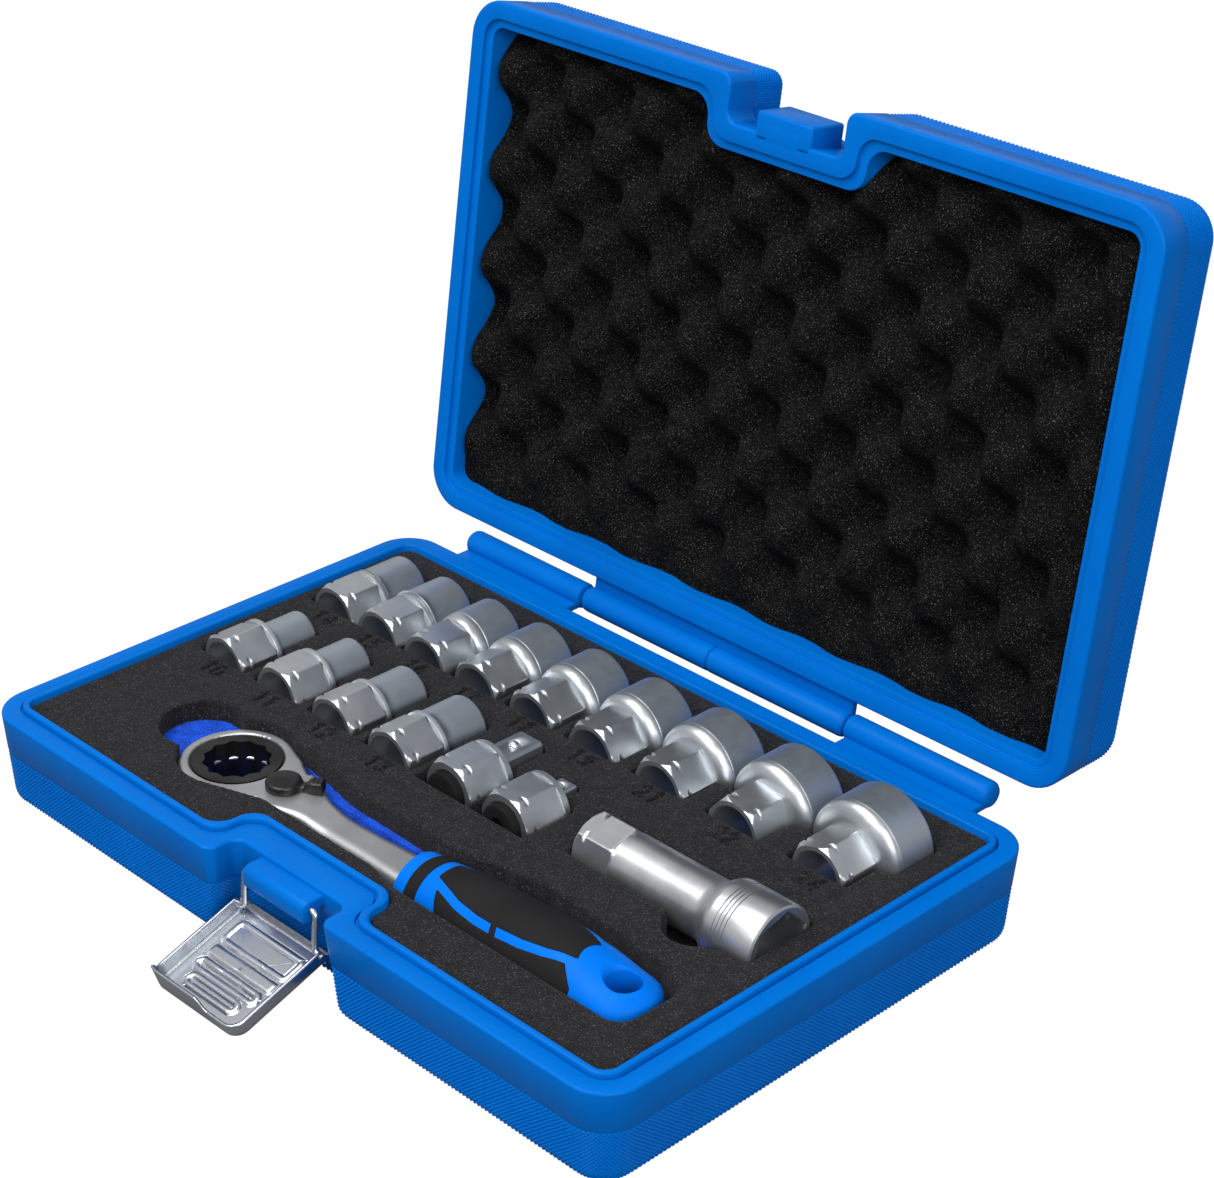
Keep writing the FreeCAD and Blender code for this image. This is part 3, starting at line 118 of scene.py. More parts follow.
class NodeKit:
    """Builds one node tree."""

    def __init__(self, tree: bpy.types.NodeTree) -> None:
        """Empties a tree.

        Args:
            tree: the tree to fill.
        """
        self.tree = tree
        self.tree.nodes.clear()

    def add(
        self, kind: str, settings: dict | None = None, inputs: dict | None = None, output: int | str = 0
    ) -> Signal:
        """Adds one node.

        Args:
            kind: the node's type.
            settings: its properties, set first.
            inputs: values or signals by socket name or number.
            output: which output comes back.

        Returns:
            The chosen output.
        """
        node = self.tree.nodes.new(kind)
        for key, value in (settings or {}).items():
            setattr(node, key, value)
        for key, value in (inputs or {}).items():
            if isinstance(value, Signal):
                self.tree.links.new(value.socket, node.inputs[key])
            else:
                node.inputs[key].default_value = value
        return Signal(self, node.outputs[output])

    def place(self) -> Signal:
        """Object coordinates."""
        return self.add("ShaderNodeTexCoord", output="Object")

    def stretched(self, scale: tuple[float, float, float]) -> Signal:
        """Object coordinates scaled per axis."""
        return self.add("ShaderNodeMapping", {}, {"Vector": self.place(), "Scale": scale})

    def cloud(self, scale: float, detail: float = 2.0, vector: Signal | None = None) -> Signal:
        """A noise value."""
        inputs = {"Vector": vector or self.place(), "Scale": scale, "Detail": detail}
        return self.add("ShaderNodeTexNoise", {}, inputs)

    def span(self, value: Signal, low: float, high: float, first: float, last: float) -> Signal:
        """Maps a value from one range to another, held at its ends."""
        inputs = {"Value": value, 1: low, 2: high, 3: first, 4: last}
        return self.add("ShaderNodeMapRange", {}, inputs)

    def blend(self, factor: Signal, first: object, second: object) -> Signal:
        """Mixes two colours."""
        return self.add("ShaderNodeMix", {"data_type": "RGBA"}, {0: factor, 6: first, 7: second}, output=2)

    def bump(self, height: Signal, strength: float, depth: float) -> Signal:
        """A bumped normal."""
        return self.add("ShaderNodeBump", {}, {"Height": height, "Strength": strength, "Distance": depth})

    def finish(self, inputs: dict) -> None:
        """Ends the tree in a Principled surface."""
        shader = self.add("ShaderNodeBsdfPrincipled", {}, inputs)
        self.end(shader)

    def end(self, result: Signal, kind: str = "ShaderNodeOutputMaterial", key: str = "Surface") -> None:
        """Links a result to the tree's output node."""
        node = self.tree.nodes.new(kind)
        self.tree.links.new(result.socket, node.inputs[key])


def shade(red: float, green: float, blue: float) -> tuple[float, float, float, float]:
    """A linear colour from the eight-bit values that a screen shows."""
    parts = [c / 255 for c in (red, green, blue)]
    linear = [c / 12.92 if c <= 0.04045 else ((c + 0.055) / 1.055) ** 2.4 for c in parts]
    return (*linear, 1.0)


# Finishes


@dataclass(frozen=True)
class Finish:
    """A finish, named as the record's slot is."""

    name: str

    def make(self) -> bpy.types.Material:
        """Builds the material."""
        material = bpy.data.materials.new(self.name)
        material.use_nodes = True
        kit = NodeKit(material.node_tree)
        kit.finish(self.inputs(kit))
        return material

    def inputs(self, kit: NodeKit) -> dict:
        """What goes into the Principled surface."""
        raise NotImplementedError


@dataclass(frozen=True)
class Plastic(Finish):
    """Moulded plastic: a slightly mottled colour with a fine grain."""

    colour: tuple
    deep: tuple
    gloss: float
    grain: float
    shine: float = 0.04

    def inputs(self, kit: NodeKit) -> dict:
        """What goes into the Principled surface."""
        cloudy = kit.span(kit.cloud(38, 3), 0.3, 0.7, 0, 1)
        fine = kit.cloud(2600, 2)
        rub = kit.span(kit.cloud(210, 4), 0.35, 0.75, -0.05, 0.09)
        return {
            "Base Color": kit.blend(cloudy, self.deep, self.colour),
            "Roughness": rub + self.gloss,
            "Normal": kit.bump(fine, self.grain, 0.0001),
            "Specular IOR Level": self.shine,
        }


@dataclass(frozen=True)
class Foam(Finish):
    """Open foam: dark cells with pale flecks."""

    dark: tuple
    pale: tuple
    fleck: tuple
    cell: float
    sheen: float = 0.05
    rough: float = 0.96

    def inputs(self, kit: NodeKit) -> dict:
        """What goes into the Principled surface."""
        scale = 1 / (self.cell * MM)
        fine = kit.cloud(scale, 3)
        broad = kit.span(kit.cloud(scale / 9, 2), 0.35, 0.65, 0, 0.45)
        grain = kit.span(fine, 0.36, 0.66, 0, 0.75)
        cells = kit.add("ShaderNodeTexVoronoi", {}, {"Vector": kit.place(), "Scale": scale * 0.8})
        flecks = kit.span(kit.cloud(scale * 1.1, 1), 0.62, 0.72, 0, 1)
        body = kit.blend(grain + broad, self.dark, self.pale)
        return {
            "Base Color": kit.blend(flecks * 0.75, body, self.fleck),
            "Roughness": self.rough,
            "Normal": kit.bump(fine + cells * 0.8, 0.75, self.cell * MM * 0.8),
            "Specular IOR Level": 0.04,
            "Sheen Weight": self.sheen,
            "Sheen Roughness": 0.6,
        }


class Lay(Enum):
    """The way the marks of machining run."""

    NONE = (1.0, 1.0, 1.0)
    ACROSS_Y = (0.04, 1.0, 0.04)
    ACROSS_X = (1.0, 0.04, 0.04)


@dataclass(frozen=True)
class Metal(Finish):
    """Plated or bare steel with the marks of its making."""

    colour: tuple
    tint: tuple
    rough: float
    marks: float
    lay: Lay = Lay.NONE
    mill: bool = False

    def inputs(self, kit: NodeKit) -> dict:
        """What goes into the Principled surface."""
        cloudy = kit.span(kit.cloud(95, 4), 0.35, 0.7, 0, 1)
        lines = kit.cloud(2400, 2, kit.stretched(self.lay.value))
        grit = kit.cloud(6500, 1)
        height = lines * 0.6 + grit * 0.4
        body = kit.blend(cloudy, self.tint, self.colour)
        rough = kit.span(kit.cloud(330, 3), 0.3, 0.7, -0.02, 0.03) + self.rough
        if self.mill:
            # The barrel has a rougher satin finish, which is real; its darker bluish colour is painted reflection of
            # the lid.
            satin_and_painted_reflection = kit.add("ShaderNodeAttribute", {"attribute_name": "satin_and_painted_reflection"}, output="Fac")
            body = kit.blend(satin_and_painted_reflection, body, shade(170, 179, 188))
            rough = rough + satin_and_painted_reflection * 0.1
            cutter = {"Vector": kit.place(), "Scale": 560, "Distortion": 0.6}
            turned = kit.add("ShaderNodeTexWave", {"bands_direction": "Y"}, cutter)
            patch = kit.add("ShaderNodeAttribute", {"attribute_name": "milled"}, output="Fac")
            height = height + turned * patch * 2.5
        speck = kit.span(grit, 0.4, 0.62, -0.03, 0.03)
        return {
            "Base Color": body,
            "Metallic": 0.92,
            "Roughness": rough + speck,
            "Normal": kit.bump(height, self.marks, 0.00002),
        }


@dataclass(frozen=True)
class Spangle(Finish):
    """Zinc plate: bright steel with soft blotches."""

    bright: tuple
    dull: tuple

    def inputs(self, kit: NodeKit) -> dict:
        """What goes into the Principled surface."""
        blotch = kit.span(kit.cloud(70, 3), 0.36, 0.66, 0, 1)
        return {
            "Base Color": kit.blend(blotch, self.dull, self.bright),
            "Metallic": 1.0,
            "Roughness": kit.span(blotch, 0, 1, 0.3, 0.24),
            "Normal": kit.bump(kit.cloud(380, 2), 0.04, 0.00003),
        }


@dataclass
class Finishes:
    """Every finish of the set, by the record's slot."""

    made: dict[str, bpy.types.Material] = field(default_factory=dict)

    def build(self) -> "Finishes":
        """Makes the materials."""
        recipes = (
            Plastic("case_blue", shade(0, 99, 186), shade(0, 93, 178), 0.3, 0.1),
            Foam("black_foam", shade(10, 10, 11), shade(29, 29, 33), shade(86, 88, 93), 0.42),
            Foam("blue_foam", shade(2, 34, 140), shade(6, 82, 214), shade(50, 120, 235), 0.4),
            Foam("crate_foam", shade(2, 2, 2), shade(19, 19, 19), shade(88, 87, 86), 0.42, 0.0),
            Spangle("zinc_steel", shade(198, 202, 208), shade(178, 182, 189)),
            Metal("bare_steel", shade(222, 224, 226), shade(200, 203, 206), 0.26, 0.2),
            Metal("wrench_chrome", shade(188, 190, 192), shade(170, 172, 175), 0.42, 0.3),
            Metal("socket_chrome", shade(198, 202, 206), shade(178, 183, 188), 0.35, 0.3, Lay.ACROSS_Y, True),
            Metal("bar_chrome", shade(196, 198, 200), shade(176, 178, 181), 0.35, 0.35, Lay.ACROSS_X),
            Metal("ring_black", shade(70, 68, 67), shade(50, 49, 49), 0.38, 0.3),
            Plastic("handle_blue", shade(0, 106, 212), shade(0, 97, 198), 0.38, 0.12),
            Plastic("grip_black", shade(34, 34, 35), shade(26, 26, 27), 0.6, 0.3),
            Plastic("plug_black", shade(30, 30, 31), shade(22, 22, 23), 0.5, 0.3),
        )
        self.made = {recipe.name: recipe.make() for recipe in recipes}
        return self

    def __getitem__(self, slot: str) -> bpy.types.Material:
        """The material of a slot."""
        return self.made[slot]


# Mesh helpers, in millimetres


def put(name: str, data: bpy.types.ID) -> bpy.types.Object:
    """Puts a mesh, lamp or camera into the scene."""
    made = bpy.data.objects.new(name, data)
    bpy.context.scene.collection.objects.link(made)
    return made


@dataclass
class Skin:
    """A mesh in the making: its points in millimetres and its faces."""

    points: list = field(default_factory=list)
    faces: list = field(default_factory=list)

    def add(self, points: Sequence, faces: Sequence) -> "Skin":
        """Joins more points and faces to the mesh."""
        start = len(self.points)
        self.points.extend(tuple(p) for p in points)
        self.faces.extend(tuple(start + i for i in f) for f in faces)
        return self

    def loft(
        self, rings: Sequence[Array], cap_first: bool = False, cap_last: bool = False, ring: bool = False
    ) -> "Skin":
        """Joins closed rings of equal length.

        Args:
            rings: arrays of points.
            cap_first: closes the first ring with one face.
            cap_last: closes the last ring with one face.
            ring: joins the last ring to the first.

        Returns:
            The mesh itself.
        """
        count = len(rings[0])
        faces = []
        pairs = len(rings) if ring else len(rings) - 1
        for k in range(pairs):
            a = k * count
            b = ((k + 1) % len(rings)) * count
            for i in range(count):
                j = (i + 1) % count
                faces.append((a + i, a + j, b + j, b + i))
        if cap_first:
            faces.append(tuple(reversed(range(count))))
        if cap_last:
            faces.append(tuple(range((len(rings) - 1) * count, len(rings) * count)))
        return self.add(np.concatenate(rings), faces)

    def block(self, low: Sequence[float], high: Sequence[float], bend: float) -> "Skin":
        """Adds a box with rounded edges."""
        mesh = bmesh.new()
        bmesh.ops.create_cube(mesh, size=1.0)
        for vert in mesh.verts:
            vert.co = Vector([low[k] if vert.co[k] < 0 else high[k] for k in range(3)])
        bmesh.ops.bevel(mesh, geom=mesh.edges[:], offset=bend, segments=3, profile=0.5, affect="EDGES")
        mesh.verts.index_update()
        self.add([v.co[:] for v in mesh.verts], [[v.index for v in f.verts] for f in mesh.faces])
        mesh.free()
        return self

    def moved(self, matrix: Matrix) -> "Skin":
        """The mesh carried by a matrix in millimetres."""
        turn = np.array(matrix)
        points = np.array(self.points) @ turn[:3, :3].T + turn[:3, 3]
        self.points = [tuple(p) for p in points]
        return self

    def piece(self, name: str, material: bpy.types.Material, sharp: float = 32) -> bpy.types.Object:
        """Makes the Blender object.

        Args:
            name: the piece's name.
            material: its finish.
            sharp: the angle in degrees past which an edge stays sharp.

        Returns:
            The object, at the origin.
        """
        mesh = bpy.data.meshes.new(name)
        mesh.from_pydata([tuple(c * MM for c in p) for p in self.points], [], self.faces)
        work = bmesh.new()
        work.from_mesh(mesh)
        bmesh.ops.remove_doubles(work, verts=work.verts, dist=1e-7)
        bmesh.ops.recalc_face_normals(work, faces=work.faces)
        work.to_mesh(mesh)
        work.free()
        mesh.materials.append(material)
        mesh.shade_smooth()
        mesh.set_sharp_from_angle(angle=math.radians(sharp))
        log.info("%s: %d faces", name, len(mesh.polygons))
        return put(name, mesh)


def hand_in(piece: bpy.types.Object, body: str, slot: str, *nodes: str) -> bpy.types.Object:
    """Rides a piece on its body and hides the nodes that it stands for."""
    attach(piece, body)
    if nodes:
        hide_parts(*nodes)
    return piece


def settle(piece: bpy.types.Object, modifier: bpy.types.Modifier) -> None:
    """Turns a modifier's result into the piece's own mesh."""
    graph = bpy.context.evaluated_depsgraph_get()
    mesh = bpy.data.meshes.new_from_object(piece.evaluated_get(graph))
    piece.modifiers.remove(modifier)
    piece.data = mesh


def carve(piece: bpy.types.Object, tool: bpy.types.Object) -> None:
    """Cuts the shape of a tool out of a piece and takes the tool away."""
    cutter = piece.modifiers.new("cut", "BOOLEAN")
    cutter.object = tool
    cutter.operation = "DIFFERENCE"
    cutter.solver = "EXACT"
    settle(piece, cutter)
    bpy.data.objects.remove(tool)


def smooth(value: Array, low: float, high: float) -> Array:
    """A soft step from 0 at low to 1 at high."""
    t = np.clip((value - low) / (high - low), 0, 1)
    return t * t * (3 - 2 * t)


def ripple(x: Array, y: Array, pitch: float, seed: float) -> Array:
    """Smooth noise between -1 and 1 over a grid."""
    flat = [noise.noise(Vector((a / pitch, b / pitch, seed))) for a, b in zip(x.ravel(), y.ravel())]
    return np.array(flat).reshape(x.shape)


def clip_grid(xs: Array, ys: Array, value: Array) -> tuple[list, list, list]:
    """Cuts a grid along the zero line of a field.

    Args:
        xs: the grid's lines across.
        ys: the grid's lines along.
        value: the field at each crossing, above zero where the sheet stays.

    Returns:
        Flat points, faces and the edges of the cut.
    """
    points: list = []
    index: dict = {}

    def corner(i: int, j: int) -> int:
        """The point at a crossing of the grid."""
        key = (i, j)
        if key not in index:
            index[key] = len(points)
            points.append((xs[i], ys[j]))
        return index[key]

    def between(i: int, j: int, k: int, m: int) -> int:
        """The point where the zero line meets an edge."""
        key = (i, j, k, m) if (i, j) < (k, m) else (k, m, i, j)
        if key not in index:
            a, b = value[i, j], value[k, m]
            t = a / (a - b)
            index[key] = len(points)
            points.append((xs[i] + t * (xs[k] - xs[i]), ys[j] + t * (ys[m] - ys[j])))
        return index[key]

    inside = value > 0
    some = inside[:-1, :-1] | inside[1:, :-1] | inside[1:, 1:] | inside[:-1, 1:]
    faces = []
    cuts = []
    for i, j in np.argwhere(some):
        loop = ((i, j), (i + 1, j), (i + 1, j + 1), (i, j + 1))
        face = []
        edge = []
        for n in range(4):
            here = loop[n]
            there = loop[(n + 1) % 4]
            if inside[here]:
                face.append(corner(*here))
            if inside[here] != inside[there]:
                spot = between(*here, *there)
                face.append(spot)
                edge.append((spot, bool(inside[here])))
        faces.append(tuple(face))
        for n in range(len(edge)):
            if edge[n][1]:
                cuts.append((edge[n][0], edge[(n + 1) % len(edge)][0]))
    return points, faces, cuts


def relief(xs: Array, ys: Array, value: Array, top: Callable, bottom: Callable) -> Skin:
    """A closed solid between two surfaces, cut out along a field's zero line.

    Args:
        xs: the grid's lines across.
        ys: the grid's lines along.
        value: the field at each crossing, above zero inside.
        top: the height of the upper surface at arrays of x and y.
        bottom: the height of the lower surface.

    Returns:
        The mesh.
    """
    flat, faces, cuts = clip_grid(xs, ys, value)
    plan = np.array(flat)
    count = len(plan)
    upper = np.column_stack([plan, top(plan[:, 0], plan[:, 1])])
    lower = np.column_stack([plan, bottom(plan[:, 0], plan[:, 1])])
    all_faces = list(faces)
    all_faces += [tuple(count + i for i in reversed(f)) for f in faces]
    all_faces += [(b, a, count + a, count + b) for a, b in cuts]
    return Skin().add(np.concatenate([upper, lower]), all_faces)


def rect_away(x: Array, y: Array, box: Sequence[float], bend: float) -> Array:
    """Distance outside a rounded rectangle (x from, x to, y from, y to)."""
    dx = np.abs(x - (box[0] + box[1]) / 2) - (box[1] - box[0]) / 2 + bend
    dy = np.abs(y - (box[2] + box[3]) / 2) - (box[3] - box[2]) / 2 + bend
    out = np.hypot(np.maximum(dx, 0), np.maximum(dy, 0))
    return out + np.minimum(np.maximum(dx, dy), 0) - bend


def loop_away(x: Array, y: Array, loop: Array) -> Array:
    """Distance outside a closed polygon, below zero inside."""
    best = np.full(x.shape, 1e9)
    inside = np.zeros(x.shape, bool)
    for a, b in zip(loop, np.roll(loop, -1, axis=0)):
        ex, ey = b - a
        px, py = x - a[0], y - a[1]
        t = np.clip((px * ex + py * ey) / (ex * ex + ey * ey + 1e-12), 0, 1)
        best = np.minimum(best, np.hypot(px - t * ex, py - t * ey))
        if ey != 0:
            crosses = (a[1] > y) != (b[1] > y)
            inside ^= crosses & (x < ex * (y - a[1]) / ey + a[0])
    return np.where(inside, -best, best)


def edge_drop(inside: Array, bend: Array | float) -> Array:
    """How far a rounded edge falls, as a share of its radius, at a distance inside it."""
    t = np.clip(inside / bend, 0, 1)
    return 1 - np.sqrt(1 - (1 - t) ** 2)


def merged(first: Array, second: Array, join: float, puff: Array | float) -> Array:
    """Two distances inside joined by a soft fillet."""
    h = np.clip(0.5 + 0.5 * (first - second) / join, 0, 1)
    return second + (first - second) * h + join * h * (1 - h) * puff


def level(z: float) -> Callable:
    """A flat surface for a relief."""
    return lambda px, py: np.full(len(px), z)


def blurred(values: Array, half: int) -> Array:
    """A row of values smoothed over a window of twice this many steps."""
    kernel = np.hanning(2 * half + 1)
    return np.convolve(np.pad(values, half, mode="edge"), kernel / kernel.sum(), mode="valid")


def pear_away(x: Array, y: Array, first: tuple, last: tuple) -> Array:
    """Distance outside two circles (x, y, radius) on one level and their common tangents."""
    px, py = x - first[0], np.abs(y - first[1])
    span = last[0] - first[0]
    b = (first[2] - last[2]) / span
    a = math.sqrt(1 - b * b)
    k = px * a - py * b
    near = np.hypot(px, py) - first[2]
    far = np.hypot(px - span, py) - last[2]
    side = px * b + py * a - first[2]
    return np.where(k < 0, near, np.where(k > a * span, far, side))


def rounded_corners(corners: Sequence[tuple], steps: int) -> Array:
    """A closed loop through corners (x, y, radius), each an arc of the given steps."""
    loop = []
    count = len(corners)
    for i in range(count):
        x, y, radius = corners[i]
        here = np.array((x, y), float)
        before = np.array(corners[i - 1][:2], float)
        behind = np.array(corners[(i + 1) % count][:2], float)
        inward = (here - before) / np.linalg.norm(here - before)
        outward = (behind - here) / np.linalg.norm(behind - here)
        half = math.acos(np.clip(inward @ outward, -1, 1)) / 2
        side = (outward - inward) / np.linalg.norm(outward - inward)
        along = (outward + inward) / np.linalg.norm(outward + inward)
        centre = here + side * (radius / math.cos(half))
        for angle in np.linspace(-half, half, steps + 1):
            loop.append(centre - side * radius * math.cos(angle) + along * radius * math.sin(angle))
    return np.array(loop)


# The case


@dataclass(frozen=True)
class Notch:
    """The front notch of an outline."""

    half: float
    depth: float
    bend: float


@dataclass
class Case:
    """Both shells of the case with their knurl, hinge and latch fixtures."""

    length: float = 250
    width: float = 160.5
    corner: float = 12
    base_depth: float = 29
    parting: float = 29.3
    lid_depth: float = 27
    edge_round: float = 4
    draft: float = 2
    skin: float = 3
    rim_round: float = 0.9
    ledge: float = 5.4
    lip_out: float = 6.0
    cavity: float = 8.1
    lip_top: float = 30.2
    groove_floor: float = 28.2
    band: float = 11.9
    recess: float = 0.4
    hinge_y: float = 87.89
    hinge_z: float = 30.15
    knuckle: float = 4
    knuckle_end: float = 104
    split: float = 53
    lid_open: float = 97.84
    boss_box: tuple = (-77.2, -71.6, 21.0, 27.6)
    boss_half: float = 12.5
    catch_half: float = 10.2
    catch_reach: float = 5.8
    catch_height: float = 13.5
    web_in: float = 2.2
    bump_wide: float = 0.7
    bump_high: float = 0.6
    bump_rise: float = 0.42
    base_notch: Notch = Notch(22.4, 9.7, 3.5)
    lid_notch: Notch = Notch(21, 13.2, 3.5)
    inner_notch: Notch = Notch(21, 13.2, 6.2)

    def outline(self, notch: Notch, inset: float, steps: int = 10) -> Array:
        """The plan of the case, set in from the outside."""
        long = self.length / 2 - inset
        wide = self.width / 2 - inset
        turn = max(self.corner - inset, 2)
        gap = notch.half + inset
        back = notch.depth - wide
        corners = (
            (-long, -wide, turn),
            (-gap, -wide, notch.bend),
            (-gap, back, notch.bend),
            (gap, back, notch.bend),
            (gap, -wide, notch.bend),
            (long, -wide, turn),
            (long, wide, turn),
            (-long, wide, turn),
        )
        return rounded_corners(corners, steps)

    def ring(self, notch: Notch, inset: float, z: float, steps: int = 10) -> Array:
        """The plan at a height."""
        flat = self.outline(notch, inset, steps)
        return np.column_stack([flat, np.full(len(flat), z)])

    def wall(self, depth: float) -> list[tuple[float, float]]:
        """Inset and height above the flat face, from the flat face to the band's step."""
        steps = []
        for k in range(9):
            angle = math.radians(90 * k / 8)
            lift = self.edge_round * (1 - math.cos(angle))
            inset = self.edge_round * (1 - math.sin(angle)) + self.draft * (1 - lift / depth)
            steps.append((inset + self.recess, lift))
        step = depth - self.band
        steps.append((self.draft * (1 - step / depth) + self.recess, step - 0.1))
        return steps

    def to_lid(self) -> Matrix:
        """Carries a lid piece from shut to open."""
        pivot = Matrix.Translation((0, self.hinge_y, self.hinge_z))
        return pivot @ Matrix.Rotation(math.radians(-self.lid_open), 4, "X") @ pivot.inverted()

    def outside(self, notch: Notch, depth: float, height: Callable) -> list[Array]:
        """The rings from the flat outer face to the rim."""
        rings = [self.ring(notch, inset, height(lift)) for inset, lift in self.wall(depth)]
        step = depth - self.band
        at_step = self.draft * (1 - step / depth)
        rings.append(self.ring(notch, at_step + 0.12, height(step)))
        rings.append(self.ring(notch, at_step, height(step + 0.2)))
        bend = self.rim_round
        for k in range(6):
            angle = math.radians(90 * k / 5)
            lift = depth - bend + bend * math.sin(angle)
            rings.append(self.ring(notch, bend * (1 - math.cos(angle)), height(lift)))
        return rings

    def base(self, finish: bpy.types.Material) -> bpy.types.Object:
        """The base shell."""
        skin = Skin()
        rings = self.outside(self.base_notch, self.base_depth, lambda lift: lift)
        inner = self.inner_notch
        for inset, z in (
            (self.ledge - 0.3, self.base_depth),
            (self.ledge - 0.05, self.base_depth - 0.12),
            (self.ledge, self.groove_floor),
            (self.lip_out, self.groove_floor),
            (self.lip_out, self.lip_top - 0.75),
            (self.lip_out + 0.18, self.lip_top - 0.3),
            (self.lip_out + 0.6, self.lip_top),
            (self.cavity - 0.6, self.lip_top),
            (self.cavity - 0.18, self.lip_top - 0.3),
            (self.cavity, self.lip_top - 0.75),
            (self.cavity, self.skin),
        ):
            rings.append(self.ring(inner, inset, z))
        skin.loft(rings, cap_first=True, cap_last=True)
        for side in (-1, 1):
            self.knuckle_bar(skin, side * self.split, side * self.knuckle_end)
            low, high = sorted((side * (self.split + 1), side * (self.knuckle_end - 1)))
            web = self.width / 2 - self.web_in
            skin.block((low, web, self.hinge_z - 3.7), (high, self.hinge_y, self.hinge_z - 1.3), 0.5)
        self.boss(skin)
        return hand_in(skin.piece("case_base", finish), "case", "case_blue", "base_shell")

    def knuckle_bar(self, skin: Skin, start: float, end: float) -> None:
        """One hinge knuckle along X with rounded ends."""
        way = math.copysign(1, end - start)
        rings = []
        long = abs(end - start)
        angles = np.linspace(0, 2 * math.pi, 32, endpoint=False)
        outer = ((0, 0.9), (0.25, 0.35), (0.8, 0))
        inner = ((long - 2, 0), (long - 1.2, 0.2), (long - 0.5, 0.75), (long, 2))
        for along, less in outer + inner:
            radius = self.knuckle - less
            x = np.full(len(angles), start + way * along)
            y, z = self.hinge_y + radius * np.cos(angles), self.hinge_z + radius * np.sin(angles)
            rings.append(np.column_stack([x, y, z]))
        skin.loft(rings, cap_first=True, cap_last=True)

    def boss(self, skin: Skin) -> None:
        """The tongue in the front notch that curls round the latch wire."""
        wall = self.base_notch.depth - self.width / 2
        front, curl, low, high = self.boss_box
        corners = (
            (front, low, 1.6),
            (curl, low, 0.8),
            (curl, 24.6, 0.8),
            (wall + 2, 24.8, 0.3),
            (wall + 2, high, 0.3),
            (front, high, 2.6),
        )
        section = rounded_corners(corners, 6)
        centre = section.mean(axis=0)
        rings = []
        half = self.boss_half
        ends = ((half, 0.86), (half - 0.3, 0.96), (half - 0.9, 1))
        for x, share in [(-x, share) for x, share in ends] + list(reversed(ends)):
            flat = centre + (section - centre) * share
            rings.append(np.column_stack([np.full(len(flat), x), flat]))
        skin.loft(rings, cap_first=True, cap_last=True)

    def lid(self, finish: bpy.types.Material) -> bpy.types.Object:
        """The lid shell."""
        skin = Skin()
        flat = self.parting + self.lid_depth
        rings = self.outside(self.lid_notch, self.lid_depth, lambda lift: flat - lift)
        inner = self.inner_notch
        step = self.parting + 1.4
        for inset, z in (
            (self.ledge - 0.5, self.parting),
            (self.ledge - 0.1, self.parting + 0.15),
            (self.ledge, self.parting + 0.5),
            (self.ledge, step - 0.15),
            (self.ledge + 0.15, step),
            (self.cavity - 0.5, step),
            (self.cavity - 0.1, step + 0.15),
            (self.cavity, step + 0.6),
            (self.cavity, flat - self.skin),
        ):
            rings.append(self.ring(inner, inset, z))
        skin.loft(rings, cap_first=True, cap_last=True)
        front = self.lid_notch.depth - self.width / 2
        half, proud, top = self.catch_half, front - self.catch_reach, self.parting + self.catch_height
        skin.block((-half, proud, self.parting), (half, front + 2.5, top), 0.9)
        skin.block((-6.5, front - 3.2, self.parting - 0.02), (6.5, front + 2.5, self.parting + 4), 0.6)
        bar = self.split - 0.5
        self.knuckle_bar(skin, 0, bar)
        self.knuckle_bar(skin, 0, -bar)
        web = self.width / 2 - self.web_in
        skin.block((1 - bar, web, self.hinge_z + 1.3), (bar - 1, self.hinge_y, self.hinge_z + 3.8), 0.5)
        skin.moved(self.to_lid())
        return hand_in(skin.piece("case_lid", finish), "lid", "case_blue", "lid_shell")

    def seats(self, notch: Notch, depth: float, height: Callable) -> tuple[Array, Array, Array]:
        """Points of the knurl on the wall and over the rounded edge.

        Args:
            notch: the front notch of the outline.
            depth: the depth of the shell.
            height: turns a lift above the flat face into a height.

        Returns:
            Places, outward directions and directions along the wall.
        """
        path = np.array(self.wall(depth))
        runs = np.concatenate([[0], np.cumsum(np.hypot(*np.diff(path, axis=0).T))])
        rows = np.arange(1.6, runs[-1] - 0.55, self.bump_high)
        guide = self.outline(notch, 0, 24)
        legs = np.linalg.norm(np.roll(guide, -1, axis=0) - guide, axis=1)
        total = np.concatenate([[0], np.cumsum(legs)])
        columns = int(total[-1] / (2 * self.bump_wide))
        places, outs, alongs = [], [], []
        for number, run in enumerate(rows):
            here = [np.interp(run, runs, path[:, k]) for k in range(2)]
            past = [np.interp(run + 0.05, runs, path[:, k]) for k in range(2)]
            loop = self.outline(notch, here[0], 24)
            loop_past = self.outline(notch, past[0], 24)
            spots = (np.arange(columns) + 0.5 * (number % 2)) / columns * total[-1]
            leg = np.clip(np.searchsorted(total, spots, side="right") - 1, 0, len(guide) - 1)
            share = ((spots - total[leg]) / legs[leg])[:, None]
            after = (leg + 1) % len(guide)
            spot = loop[leg] * (1 - share) + loop[after] * share
            spot_past = loop_past[leg] * (1 - share) + loop_past[after] * share
            along = np.column_stack([loop[after] - loop[leg], np.zeros(columns)])
            along /= np.linalg.norm(along, axis=1)[:, None] + 1e-12
            up = np.column_stack([spot_past - spot, np.full(columns, height(past[1]) - height(here[1]))])
            out = np.cross(along, up)
            outward = np.column_stack([along[:, 1], -along[:, 0], np.zeros(columns)])
            out /= np.linalg.norm(out, axis=1)[:, None] + 1e-12
            flip = np.sign((out * outward).sum(axis=1) + 1e-9)
            places.append(np.column_stack([spot, np.full(columns, height(here[1]))]))
            outs.append(out * flip[:, None])
            alongs.append(along)
        return np.concatenate(places), np.concatenate(outs), np.concatenate(alongs)

